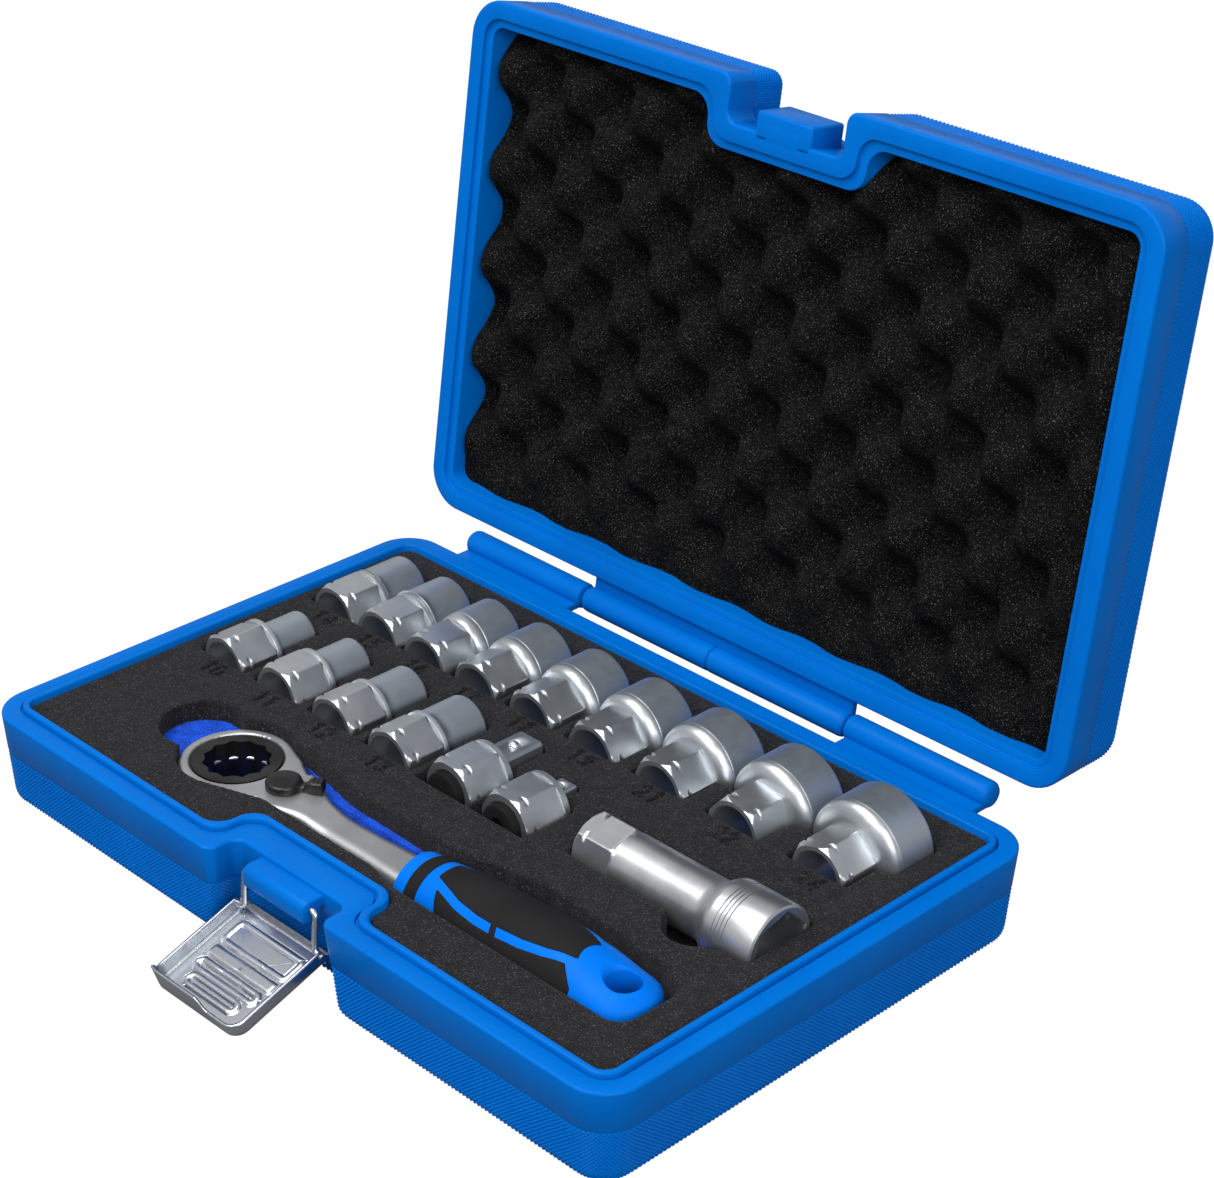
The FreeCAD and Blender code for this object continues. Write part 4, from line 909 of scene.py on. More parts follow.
    def face_seats(self) -> tuple[Array, Array, Array]:
        """Points of the knurl on the lid's outer face."""
        edge = self.edge_round + self.draft + self.recess + 0.6
        loop = self.outline(self.lid_notch, edge, 12)
        xs = np.arange(-self.length / 2, self.length / 2, 2 * self.bump_wide)
        ys = np.arange(-self.width / 2, self.width / 2, self.bump_high)
        x, y = np.meshgrid(xs, ys)
        x = x + self.bump_wide * (np.arange(len(ys)) % 2)[:, None]
        keep = loop_away(x, y, loop) < 0
        count = int(keep.sum())
        z = np.full(count, self.parting + self.lid_depth)
        places = np.column_stack([x[keep], y[keep], z])
        return places, np.tile((0.0, 0.0, 1.0), (count, 1)), np.tile((1.0, 0.0, 0.0), (count, 1))

    def knurl(self, finish: bpy.types.Material) -> list[bpy.types.Object]:
        """The diamond knurl of both shells, as points dressed by one node tree."""
        flat = self.parting + self.lid_depth
        under = self.seats(self.base_notch, self.base_depth, lambda lift: lift)
        over = self.seats(self.lid_notch, self.lid_depth, lambda lift: flat - lift)
        tree = KnurlTree(finish).build()
        made = []
        jobs = (
            ("base_knurl", "case", under, Matrix()),
            ("lid_knurl", "lid", over, self.to_lid()),
            ("lid_face_knurl", "lid", self.face_seats(), self.to_lid()),
        )
        for name, body, (places, outs, alongs), matrix in jobs:
            turn, shift = np.array(matrix)[:3, :3].T, np.array(matrix)[:3, 3]
            bump = (self.bump_wide, self.bump_high, self.bump_rise)
            piece = tree.dress(name, places @ turn + shift, outs @ turn, alongs @ turn, bump)
            made.append(hand_in(piece, body, "case_blue"))
        return made


@dataclass
class KnurlTree:
    """A Geometry Nodes tree that puts a low pyramid on every point."""

    SIZES: ClassVar[tuple] = ("Half width", "Half height", "Rise")
    DIRECTIONS: ClassVar[tuple] = ("facing", "along")
    finish: bpy.types.Material
    tree: bpy.types.NodeTree | None = None

    def build(self) -> "KnurlTree":
        """Makes the tree with its named inputs."""
        tree = bpy.data.node_groups.new("knurl", "GeometryNodeTree")
        face = tree.interface
        face.new_socket("Seats", in_out="INPUT", socket_type="NodeSocketGeometry")
        for name in self.SIZES:
            face.new_socket(name, in_out="INPUT", socket_type="NodeSocketFloat")
        face.new_socket("Knurl", in_out="OUTPUT", socket_type="NodeSocketGeometry")
        kit = NodeKit(tree)
        source = tree.nodes.new("NodeGroupInput")
        seats, *sizes = [Signal(kit, source.outputs[name]) for name in ("Seats", *self.SIZES)]
        shape = {"Vertices": 4, "Radius Top": 0.0, "Radius Bottom": 1.0, "Depth": 1.0}
        cone = kit.add("GeometryNodeMeshCone", {"fill_type": "NONE"}, shape, "Mesh")
        scale = kit.add("ShaderNodeCombineXYZ", {}, dict(enumerate(sizes)), "Vector")
        facing, along = [
            kit.add("GeometryNodeInputNamedAttribute", {"data_type": "FLOAT_VECTOR"}, {"Name": name}, "Attribute")
            for name in self.DIRECTIONS
        ]
        turner = "FunctionNodeAlignRotationToVector"
        stand = kit.add(turner, {"axis": "Z"}, {"Vector": facing}, "Rotation")
        swing = kit.add(turner, {"axis": "X", "pivot_axis": "Z"}, {"Rotation": stand, "Vector": along}, "Rotation")
        places = {"Points": seats, "Instance": cone, "Rotation": swing, "Scale": scale}
        spread = kit.add("GeometryNodeInstanceOnPoints", {}, places, "Instances")
        real = kit.add("GeometryNodeRealizeInstances", {}, {"Geometry": spread}, "Geometry")
        paint = kit.add("GeometryNodeSetMaterial", {}, {"Geometry": real, "Material": self.finish}, "Geometry")
        kit.end(paint, "NodeGroupOutput", "Knurl")
        self.tree = tree
        return self

    def dress(
        self, name: str, places: Array, outs: Array, alongs: Array, bump: tuple[float, float, float]
    ) -> bpy.types.Object:
        """Dresses points and turns the result into a plain mesh.

        Args:
            name: the piece's name.
            places: the points, in millimetres.
            outs: the outward direction at each point.
            alongs: the direction of each pyramid's long diagonal.
            bump: half width, half height and rise of a pyramid.

        Returns:
            The finished piece.
        """
        seats = bpy.data.meshes.new(f"{name}_seats")
        seats.from_pydata((places * MM).tolist(), [], [])
        for key, values in zip(self.DIRECTIONS, (outs, alongs)):
            layer = seats.attributes.new(key, "FLOAT_VECTOR", "POINT")
            layer.data.foreach_set("vector", np.ascontiguousarray(values, np.float32).ravel())
        holder = put(f"{name}_seats", seats)
        dresser = holder.modifiers.new("knurl", "NODES")
        dresser.node_group = self.tree
        values = dict(zip(self.SIZES, bump))
        for item in self.tree.interface.items_tree:
            if item.item_type == "SOCKET" and item.in_out == "INPUT" and item.name in values:
                dresser[item.identifier] = values[item.name] * MM
        graph = bpy.context.evaluated_depsgraph_get()
        mesh = bpy.data.meshes.new_from_object(holder.evaluated_get(graph))
        bpy.data.objects.remove(holder)
        mesh.name = name
        for key in self.DIRECTIONS:
            if key in mesh.attributes:
                mesh.attributes.remove(mesh.attributes[key])
        log.info("%s: %d faces", name, len(mesh.polygons))
        return put(name, mesh)


# Where the wrench lies


@dataclass(frozen=True)
class WrenchPlan:
    """The wrench's place and widths, which its pocket in the foam follows."""

    y: float = -43.5
    ring_x: float = -57
    head: float = 16.3
    lever_x: float = -36.4
    neck: float = 9.5
    shank_end: float = 22
    shank_room: float = 6.8
    handle_left: float = 19
    handle_length: float = 85
    handle_width: float = 23

    def pear(self, px: Array, py: Array, more: float = 0.0) -> Array:
        """Distance outside the head and neck, or outside a larger outline."""
        return pear_away(px, py, (self.ring_x, self.y, self.head + more), (self.lever_x, self.y, self.neck + more))

    def strip(self, px: Array, py: Array, ends: tuple[float, float], half: float, bend: float) -> Array:
        """Distance outside a strip along the wrench."""
        return rect_away(px, py, (*ends, self.y - half, self.y + half), bend)


PLAN = WrenchPlan()


# Foam


@dataclass
class FoamSet:
    """The egg-crate foam of the lid, the tool tray and its blue backing."""

    case: Case
    inset: float = 8.35
    floor: float = 3
    backing_top: float = 11
    top: float = 28.5
    ceiling: float = 53.3
    slab: float = 8.5
    crest: float = 30.6
    pitch_x: float = 28
    pitch_y: float = 29.5
    gap: float = 0.6
    edge: float = 0.7
    edge_fall: float = 0.55
    half_x: float = 118
    half_y: float = 74
    deboss: float = 0.9
    digit_high: float = 5.6
    swell: float = 11.5
    ring_swell: float = 3.0

    def loop(self) -> Array:
        """The outline of the foam."""
        return self.case.outline(self.case.inner_notch, self.inset, 8)

    def grid(self, step: float) -> tuple[Array, Array]:
        """Even grid lines over the foam."""
        return np.arange(-self.half_x, self.half_x + 0.1, step), np.arange(-self.half_y, self.half_y + 0.1, step)

    def crate(self, finish: bpy.types.Material) -> bpy.types.Object:
        """The lid's egg-crate foam."""
        loop = self.loop()
        xs, ys = self.grid(1.1)
        x, y = np.meshgrid(xs, ys, indexing="ij")
        value = -loop_away(x, y, loop) + 0.25 * ripple(x, y, 6, 3.1)
        low = self.ceiling - self.slab

        def surface(px: Array, py: Array) -> Array:
            """The egg-crate face, which looks down when the lid is shut."""
            wave = np.cos(2 * math.pi * px / self.pitch_x) * np.cos(2 * math.pi * py / self.pitch_y)
            hump = smooth(wave * 0.5 + 0.5, -0.18, 1.08)
            fill = np.maximum(smooth(py, 52, 70), smooth(px, 100, 114))
            hump = hump + (0.78 - hump) * 0.85 * fill
            ragged = 0.35 * ripple(px, py, 4.5, 1.7) + 0.7 * ripple(px, py, 17, 8.2)
            side = -loop_away(px, py, loop)
            rise = (low - self.crest) * hump * (0.9 + 0.1 * smooth(side, 0, 5))
            return low - rise + ragged * (0.35 + 0.65 * (1 - hump))

        skin = relief(xs, ys, value, surface, level(self.ceiling - 0.05))
        skin.moved(self.case.to_lid())
        piece = hand_in(skin.piece("lid_crate_foam", finish, 50), "lid", "crate_foam", "lid_foam")
        to_lid = self.case.to_lid()
        axis = to_lid.to_3x3() @ Vector((0, 0, 1))
        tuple(axis[:])
        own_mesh(piece)
        return piece

    def backing(self, finish: bpy.types.Material, tools: "Tools") -> bpy.types.Object:
        """The blue sheet under the tray."""
        xs, ys = self.grid(0.8)
        value = -loop_away(*np.meshgrid(xs, ys, indexing="ij"), self.loop())

        def surface(px: Array, py: Array) -> Array:
            """The top of the sheet, which swells into the finger recesses beside the tools."""
            swell = self.swell * smooth(tools.recess(px, py), 0, 1.4)
            ring = self.ring_swell * smooth(8 - np.hypot(px - PLAN.ring_x, py - PLAN.y), 0, 1)
            return self.backing_top - 0.12 + swell + ring + 0.1 * ripple(px, py, 5, 4.4)

        skin = relief(xs, ys, value, surface, level(self.floor + 0.02))
        piece = hand_in(skin.piece("blue_backing", finish, 50), "case", "blue_foam", "foam_backing")
        return piece

    def tray(self, finish: bpy.types.Material, tools: "Tools") -> bpy.types.Object:
        """The black tray with its routed pockets and debossed sizes."""
        labels = tools.labels(self.digit_high)
        xs = self.lines(self.half_x, [label[1] for label in labels], 5.2)
        ys = self.lines(self.half_y, sorted({round(label[2], 1) for label in labels}), 4.2)
        x, y = np.meshgrid(xs, ys, indexing="ij")
        loop = self.loop()
        rooms, floors = tools.rooms(self.gap, self.backing_top)

        def field_at(px: Array, py: Array) -> Array:
            """How far inside the foam a place is."""
            value = -loop_away(px, py, loop)
            for room in rooms:
                value = np.minimum(value, room(px, py))
            return value

        value = field_at(x, y) + 0.16 * ripple(x, y, 3.2, 5.5) + 0.1 * ripple(x, y, 1.3, 9.1)

        def surface(px: Array, py: Array) -> Array:
            """The top of the tray with soft edges and debossed numbers."""
            height = self.top - self.edge_fall * edge_drop(field_at(px, py), self.edge)
            for text, cx, cy in labels:
                near = (np.abs(px - cx) < 6) & (np.abs(py - cy) < 5)
                stroke = np.full(len(px), 9.0)
                stroke[near] = Numerals().away(text, px[near] - cx, py[near] - cy, self.digit_high)
                height = height - self.deboss * (1 - smooth(stroke, 0.3, 0.75))
            return height

        skin = relief(xs, ys, value, surface, level(self.backing_top))
        for (left, right, near, far), z in floors:
            skin.add([(left, near, z), (right, near, z), (right, far, z), (left, far, z)], [(0, 1, 2, 3)])
        piece = hand_in(skin.piece("tool_tray", finish, 50), "case", "black_foam", "tool_foam")
        return piece

    def lines(self, half: float, fine: Sequence[float], near: float) -> Array:
        """Grid lines that are closer together near given places."""
        spots = [-half]
        while spots[-1] < half:
            close = any(abs(spots[-1] - c) < near for c in fine)
            spots.append(spots[-1] + (0.32 if close else 0.75))
        return np.array(spots)


class Numerals:
    """Plain stroke numerals."""

    STROKES = {
        "0": [[(0.5, 1), (0.9, 0.8), (0.9, 0.2), (0.5, 0), (0.1, 0.2), (0.1, 0.8), (0.5, 1)]],
        "1": [[(0.2, 0.78), (0.55, 1), (0.55, 0)]],
        "2": [[(0.1, 0.8), (0.45, 1), (0.85, 0.82), (0.8, 0.55), (0.1, 0), (0.9, 0)]],
        "3": [[(0.12, 0.88), (0.5, 1), (0.85, 0.8), (0.5, 0.54), (0.88, 0.28), (0.5, 0), (0.1, 0.14)]],
        "4": [[(0.7, 0), (0.7, 1), (0.08, 0.3), (0.95, 0.3)]],
        "5": [[(0.85, 1), (0.2, 1), (0.15, 0.56), (0.55, 0.64), (0.88, 0.38), (0.55, 0), (0.1, 0.12)]],
        "6": [
            [(0.8, 0.94), (0.4, 0.9), (0.12, 0.45), (0.3, 0.04)]
            + [(0.7, 0.04), (0.88, 0.3), (0.6, 0.56), (0.2, 0.44)]
        ],
        "7": [[(0.1, 1), (0.9, 1), (0.4, 0)]],
        "8": [
            [(0.5, 0.54), (0.16, 0.78), (0.5, 1), (0.84, 0.78)]
            + [(0.5, 0.54), (0.1, 0.26), (0.5, 0), (0.9, 0.26), (0.5, 0.54)]
        ],
        "9": [
            [(0.84, 0.6), (0.45, 0.44), (0.12, 0.7), (0.4, 0.98)]
            + [(0.78, 0.9), (0.86, 0.5), (0.6, 0.04), (0.2, 0.06)]
        ],
    }

    def away(self, text: str, px: Array, py: Array, high: float) -> Array:
        """Distance from the strokes of a centred number."""
        best = np.full(len(px), 9.0)
        wide = high * 0.56
        step = high * 0.78
        start = -(len(text) - 1) * step / 2 - wide / 2
        for n, digit in enumerate(text):
            for stroke in self.STROKES[digit]:
                line = np.array(stroke) * (wide, high) + (start + n * step, -high / 2)
                for a, b in zip(line[:-1], line[1:]):
                    e = b - a
                    t = np.clip(((px - a[0]) * e[0] + (py - a[1]) * e[1]) / (e @ e), 0, 1)
                    best = np.minimum(best, np.hypot(px - a[0] - t * e[0], py - a[1] - t * e[1]))
        return best


# Sockets, adaptors and the extension bar


class Section(Enum):
    """The outline of a turned or milled bar."""

    ROUND = 0
    HEXAGON = 6
    SQUARE = 4


HEX_CORNERS = [60 * n + d for n in range(6) for d in (-1.43, 0, 1.43)]
SQUARE_CORNERS = [45 + 90 * n + d for n in range(4) for d in (-5.28, 0, 5.28)]
ANGLES = np.radians(np.unique(np.mod([*range(0, 360, 4), *HEX_CORNERS, *SQUARE_CORNERS], 360)))


def reach(kind: Section, half: float, corner: float = 1e9) -> Array:
    """The radius of a section at each angle, its corners held to a radius."""
    if kind is Section.ROUND:
        return np.full(len(ANGLES), half)
    turn = 2 * math.pi / kind.value
    first = 0 if kind is Section.HEXAGON else turn / 2
    off = np.mod(ANGLES - first, turn) - turn / 2
    return np.minimum(half / np.cos(off), corner)


def disc(radius: float) -> Array:
    """A round section."""
    return reach(Section.ROUND, radius)


def square(half: float) -> Array:
    """A square section with eased corners."""
    return reach(Section.SQUARE, half, half * 1.3)


@dataclass
class Turned:
    """A bar of rings along one axis."""

    origin: tuple[float, float, float]
    axis: str
    roll: float
    rings: list = field(default_factory=list)

    def at(self, along: float, radius: Array) -> "Turned":
        """Adds one ring."""
        self.rings.append((along, radius))
        return self

    def rounds(self, *steps: tuple[float, float]) -> "Turned":
        """Adds round rings, each a place along the axis and a radius."""
        for along, radius in steps:
            self.at(along, disc(radius))
        return self

    def skin(self, closed: bool = False) -> Skin:
        """The mesh of the rings, joined last to first or capped at both ends."""
        angle = ANGLES + math.radians(self.roll)
        ox, oy, oz = self.origin
        rings = []
        for along, radius in self.rings:
            a, b = radius * np.cos(angle), radius * np.sin(angle)
            far = np.full(len(angle), along)
            if self.axis == "Y":
                rings.append(np.column_stack([ox + a, oy + far, oz + b]))
            else:
                rings.append(np.column_stack([ox + far, oy + a, oz + b]))
        return Skin().loft(rings, not closed, not closed, closed)


@dataclass(frozen=True)
class Adaptor:
    """The sizes of one adaptor: its square, the seat of its ball and the hollow of its plug."""

    tag: str
    half: float
    tongue: float
    ball: float
    well: float
    hollow: float
    hollow_end: float


@dataclass
class Tools:
    """Sockets, adaptors and the extension bar, placed by their nodes' boxes."""

    finishes: Finishes
    hex_half: float = 8.5
    hex_corner: float = 9.815
    hex_length: float = 13
    land: float = 8.7
    length: float = 30
    notch_at: float = 3.2
    notch: float = 0.8
    corner_flat: float = 9.68
    barrel_ratio: float = 1.2
    barrel_add: float = 1.5
    bar_radius: float = 11.9
    ramp: float = 1.7
    thumb: tuple = (88.5, -11.5, 9.3)
    finger: tuple = (-76, -41, 12)
    wrench_room: tuple = (
        (-57, -53.1, 1),
        (12, -53.1, 6),
        (22, -55.7, 6),
        (105.2, -55.7, 6),
        (105.2, -34.5, 6),
        (94.5, -30.0, 6),
        (52, -27.0, 12),
        (19, -33.0, 8),
        (-20, -32.6, 12),
        (-36.4, -29.4, 10),
        (-57, -27.2, 1),
    )
    adaptors: tuple = (
        Adaptor("large", 4.765, 15.5, 1.7, 6.0, 0.01, -2.3),
        Adaptor("small", 3.175, 8.5, 1.1, 4.2, 2.6, -0.8),
    )
    flange: float = 16
    bar_step: float = 44
    bar_length: float = 66
    bar_floor: float = 16.3
    front: tuple = (10, 11, 12, 13)
    back: tuple = (14, 15, 16, 17, 18, 19, 21, 22, 24)
    roll: dict = field(
        default_factory=lambda: dict(
            zip((*range(10, 20), 21, 22, 24), (42, 62, 42, 40, 66, 68, 66, 40, 42, 55, 52, 70, 45))
        )
    )

    def spot(self, node: str) -> tuple[float, float, float, float]:
        """Middle x, front y, middle z and back y of a node, in millimetres."""
        low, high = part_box(node)
        return (low.x + high.x) / 2 / MM, low.y / MM, (low.z + high.z) / 2 / MM, high.y / MM

    def barrel(self, size: int) -> float:
        """The radius of a socket's barrel."""
        return (self.barrel_ratio * size + self.barrel_add) / 2

    def nose(self, bar: Turned, hex_length: float) -> None:
        """The outside of a drive hexagon from its face to its end."""
        hexagon = reach(Section.HEXAGON, self.hex_half, self.corner_flat)
        for t in (0, 0.35, 0.7, 1.05, 1.4, 2.0):
            bar.at(t, np.minimum(hexagon, self.land + t))
        for t in np.linspace(-1, 1, 9):
            deep = self.notch * math.sqrt(max(1 - t * t, 0))
            bar.at(self.notch_at + t * self.notch, np.minimum(hexagon, self.hex_corner - deep))
        for t in (self.notch_at + self.notch + 0.3, hex_length - 0.7, hex_length - 0.35):
            bar.at(t, hexagon)
        bar.at(hex_length - 0.05, reach(Section.HEXAGON, self.hex_half - 0.1, self.corner_flat - 0.1))

    def socket(self, size: int) -> bpy.types.Object:
        """One go-through socket."""
        name = f"socket_{size}"
        x, y, z, _ = self.spot(name)
        barrel = self.barrel(size)
        bar = Turned((x, y, z), "Y", -self.roll[size])
        self.nose(bar, self.hex_length)
        if barrel < self.hex_corner:
            bar.rounds((13.0, 9.0), (13.2, 9.3), (13.45, 9.4), (14.6, 9.4), (14.9, 9.2), (15, 8.9))
            bar.rounds((15.02, barrel + 0.5), (15.2, barrel + 0.15), (15.7, barrel))
        else:
            bar.rounds((13.0, 8.9))
            for k in range(9):
                angle = math.radians(90 * k / 8)
                bar.rounds((13.05 + 3.6 * (1 - math.cos(angle)), 9.1 + (barrel - 9.1) * math.sin(angle)))
            bar.rounds((16.75, barrel - 0.12), (16.95, barrel - 0.02), (17.2, barrel))
        end = self.length
        bar.rounds((17.5, barrel), (end - 1.2, barrel), (end - 0.9, barrel))
        bar.rounds((end - 0.35, barrel - 0.25), (end, barrel - 0.8))
        mouth = reach(Section.HEXAGON, (size + 0.2) / 2)
        stud = min(14, size * 0.85) / 2
        bar.at(end, mouth + 0.25).at(end - 0.3, mouth).at(18, mouth)
        bar.rounds((17.9, stud), (11.1, stud), (11, 7), (0.4, 7), (0, 7.4))
        piece = bar.skin(True).piece(f"go_through_{size}", self.finishes["socket_chrome"], 24)
        self.mark_milled(piece, (x, y, z), size)
        return hand_in(piece, name, "socket_chrome", name)

    def mark_milled(self, piece: bpy.types.Object, spot: tuple[float, float, float], size: int) -> None:
        """Marks the flats that show the cutter's lines, and the satin barrel whose darker bluish tone is painted
        reflection.
        """
        mesh = piece.data
        layer = mesh.attributes.new("milled", "FLOAT", "POINT")
        co = np.zeros(len(mesh.vertices) * 3)
        mesh.vertices.foreach_get("co", co)
        co = co.reshape(-1, 3) / MM
        angle = np.degrees(np.arctan2(co[:, 2] - spot[2], co[:, 0] - spot[0])) + self.roll.get(size, 0)
        flat = np.mod(np.floor(np.mod(angle, 360) / 60), 2)
        on_hex = (co[:, 1] - spot[1] < self.hex_length - 0.5) & (co[:, 1] - spot[1] > 1.2)
        layer.data.foreach_set("value", (flat * on_hex * (size % 3 != 1)).astype(np.float32))
        # The barrel beyond the hexagon: a real rougher satin finish, and a darker bluish tone that is painted
        # reflection.
        satin_and_painted_reflection = mesh.attributes.new("satin_and_painted_reflection", "FLOAT", "POINT")
        satin_and_painted_reflection.data.foreach_set("value", (co[:, 1] - spot[1] > self.hex_length + 4).astype(np.float32))

    def adaptor(self, sizes: Adaptor) -> None:
        """One hexagon to square adaptor and its plug."""
        tag, half, start = sizes.tag, sizes.half, self.flange
        end = start + sizes.tongue
        body = f"{tag}_adaptor_body"
        x, y, z, _ = self.spot(body)
        bar = Turned((x, y, z), "Y", 0)
        bar.rounds((6.5, 6.42), (0.3, 6.42), (0, 6.7))
        self.nose(bar, 14)
        bar.rounds((14, 9.1), (14.2, 9.4), (15.6, 9.4), (15.9, 9.2), (start, 8.8))
        bar.at(start + 0.02, square(half + 0.35)).at(start + 0.4, square(half)).at(end - 0.9, square(half))
        bar.at(end - 0.3, square(half - 0.25)).at(end, square(half - 0.9))
        piece = bar.skin().piece(f"{tag}_adaptor", self.finishes["socket_chrome"], 24)
        self.mark_milled(piece, (x, y, z), 12)
        self.countersink(piece, sizes, z + half)
        hand_in(piece, f"{tag}_adaptor", "socket_chrome", body)
        cap = Turned((x, y, z), "Y", 0)
        hollow = sizes.hollow
        cap.rounds((6.4, 6.38), (-1.7, 6.38), (-2.2, 6.1), (-2.45, 5.5), (-2.5, 4.4))
        cap.rounds((-2.5, hollow + 0.4), (-2.2, hollow), (sizes.hollow_end, hollow))
        plug = cap.skin().piece(f"{tag}_end_plug", self.finishes["plug_black"], 30)
        hand_in(plug, f"{tag}_adaptor", "plug_black", f"{tag}_adaptor_plug")

    def countersink(self, piece: bpy.types.Object, sizes: Adaptor, top: float) -> None:
        """Cuts the seat of a ball into the top of a square."""
        node, ball = f"{sizes.tag}_adaptor_ball", sizes.ball
        x, front, _, back = self.spot(node)
        seat = Turned((x, 0, 0), "Y", 0)
        seat.rounds((-sizes.well, ball + 0.08), (-0.75, ball + 0.08), (0.3, ball + 1.0))
        skin = seat.skin()
        centre = (front + back) / 2
        skin.points = [(p[0], centre + p[2], top + p[1]) for p in skin.points]
        carve(piece, skin.piece(f"{node}_seat", self.finishes["ring_black"]))

    def bar_spot(self) -> tuple[float, float, float]:
        """The left end of the extension bar's axis."""
        low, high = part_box("extension_body")
        return low.x / MM, (low.y + high.y) / 2 / MM, (low.z + high.z) / 2 / MM

    def bar(self) -> bpy.types.Object:
        """The extension bar."""
        x, y, z = self.bar_spot()
        hexagon = reach(Section.HEXAGON, self.hex_half, self.corner_flat)
        made = Turned((x, y, z), "X", 15)
        self.nose(made, 13)
        for t, drop in ((13.3, 0.25), (14, 0.95), (14.4, 2)):
            made.at(t, np.maximum(np.minimum(hexagon, self.corner_flat - drop), np.full(len(ANGLES), 8.8)))
        made.rounds((43.2, 8.8), (self.bar_step, 8.85))
        for k in range(7):
            t = k / 6
            made.rounds((self.bar_step + 6 * t, 8.85 + 3.05 * (3 * t * t - 2 * t ** 3)))
        wide = self.bar_radius
        made.rounds((50.3, wide))
        for k in range(4):
            start = 52.4 + 1.25 * k
            made.rounds((start, wide), (start + 0.12, 11.55), (start + 0.42, 11.55), (start + 0.55, wide))
        end = self.bar_length
        made.rounds((end - 0.9, wide), (end - 0.4, 11.7), (end, 11.1))
        mouth = reach(Section.HEXAGON, 8.6)
        made.at(end, mouth + 0.4).at(end - 0.5, mouth).at(51, mouth)
        made.rounds((50.9, 6), (0.4, 6), (0, 6.4))
        piece = made.skin(True).piece("extension_bar", self.finishes["bar_chrome"], 24)
        return hand_in(piece, "extension", "socket_chrome", "extension_body")

    def build(self) -> None:
        """Makes every tool of the rows."""
        for size in self.front + self.back:
            self.socket(size)
        for sizes in self.adaptors:
            self.adaptor(sizes)
        self.bar()

    def labels(self, high: float) -> list[tuple[str, float, float]]:
        """The number in front of each socket and its middle."""
        made = []
        for size in self.front + self.back:
            x, y, _, _ = self.spot(f"socket_{size}")
            made.append((str(size), x + 2.2, y - high * 0.9))
        return made

    def rooms(self, gap: float, backing: float) -> tuple[list[Callable], list]:
        """The pockets of the tray as distances outside them, and the floors of the shallow ones.

        Args:
            gap: the room round a tool.
            backing: the height of the blue sheet.

        Returns:
            Distance functions, and pairs of box and height.
        """
        boxes: list = []
        floors: list = []

        def lying(x: float, half: float, start: float, stop: float, z: float, radius: float) -> None:
            """One pocket for a piece along Y."""
            box = (x - half - gap, x + half + gap, start, stop)
            boxes.append(box)
            floor = z - radius - 0.3
            if floor > backing + 0.5:
                floors.append(((box[0] - 0.5, box[1] + 0.5, box[2] - 0.5, box[3] + 0.5), floor))

        for size in self.front + self.back:
            x, y, z, _ = self.spot(f"socket_{size}")
            barrel = self.barrel(size)
            lying(x, self.hex_corner, y - gap, y + 15 + gap, z, self.hex_corner)
            lying(x, barrel, y + 13 - gap, y + 30 + gap, z, barrel)
        for sizes in self.adaptors:
            x, y, z, _ = self.spot(f"{sizes.tag}_adaptor_body")
            start = y + self.flange
            lying(x, self.hex_corner, y - 2.5 - gap, start + gap, z, self.hex_corner)
            lying(x, sizes.half, start, start + sizes.tongue + gap, z, sizes.half)
        x, y, _ = self.bar_spot()
        step = self.bar_step
        for start, end, half in ((0, step, self.hex_corner), (step, self.bar_length, self.bar_radius)):
            boxes.append((x + start - gap, x + end + gap, y - half - gap, y + half + gap))
        left, right, near, far = boxes[-2]
        floors.append(((left - 0.5, right, near - 0.5, far + 0.5), self.bar_floor))
        rooms = [lambda px, py, b=box: rect_away(px, py, b, 0.9) for box in boxes]
        rooms.append(lambda px, py: PLAN.pear(px, py, gap))
        rooms.extend(self.grips())
        return rooms, floors

    def grips(self) -> list[Callable]:
        """The thumb and finger recesses and the long room of the wrench, as distances outside them."""
        wrench = rounded_corners(self.wrench_room, 6)
        return [
            lambda px, py: np.hypot(px - self.thumb[0], py - self.thumb[1]) - self.thumb[2],
            lambda px, py: np.hypot(px - self.finger[0], py - self.finger[1]) - self.finger[2],
            lambda px, py: loop_away(px, py, wrench),
        ]

    def recess(self, px: Array, py: Array) -> Array:
        """How far inside a recess and clear of the tools a place is."""
        room = np.min([grip(px, py) for grip in self.grips()], axis=0)
        head = PLAN.pear(px, py)
        shank = PLAN.strip(px, py, (PLAN.lever_x, PLAN.shank_end), PLAN.shank_room, 1)
        ends = (PLAN.handle_left, PLAN.handle_left + PLAN.handle_length)
        handle = PLAN.strip(px, py, ends, PLAN.handle_width / 2, 8)
        x, y, _ = self.bar_spot()
        bar = rect_away(px, py, (x, x + self.bar_length, y - self.bar_radius, y + self.bar_radius), 0.5)
        return np.minimum(self.ramp - room, np.min([head, shank, handle, bar], axis=0) - 0.3)


# The ratchet wrench


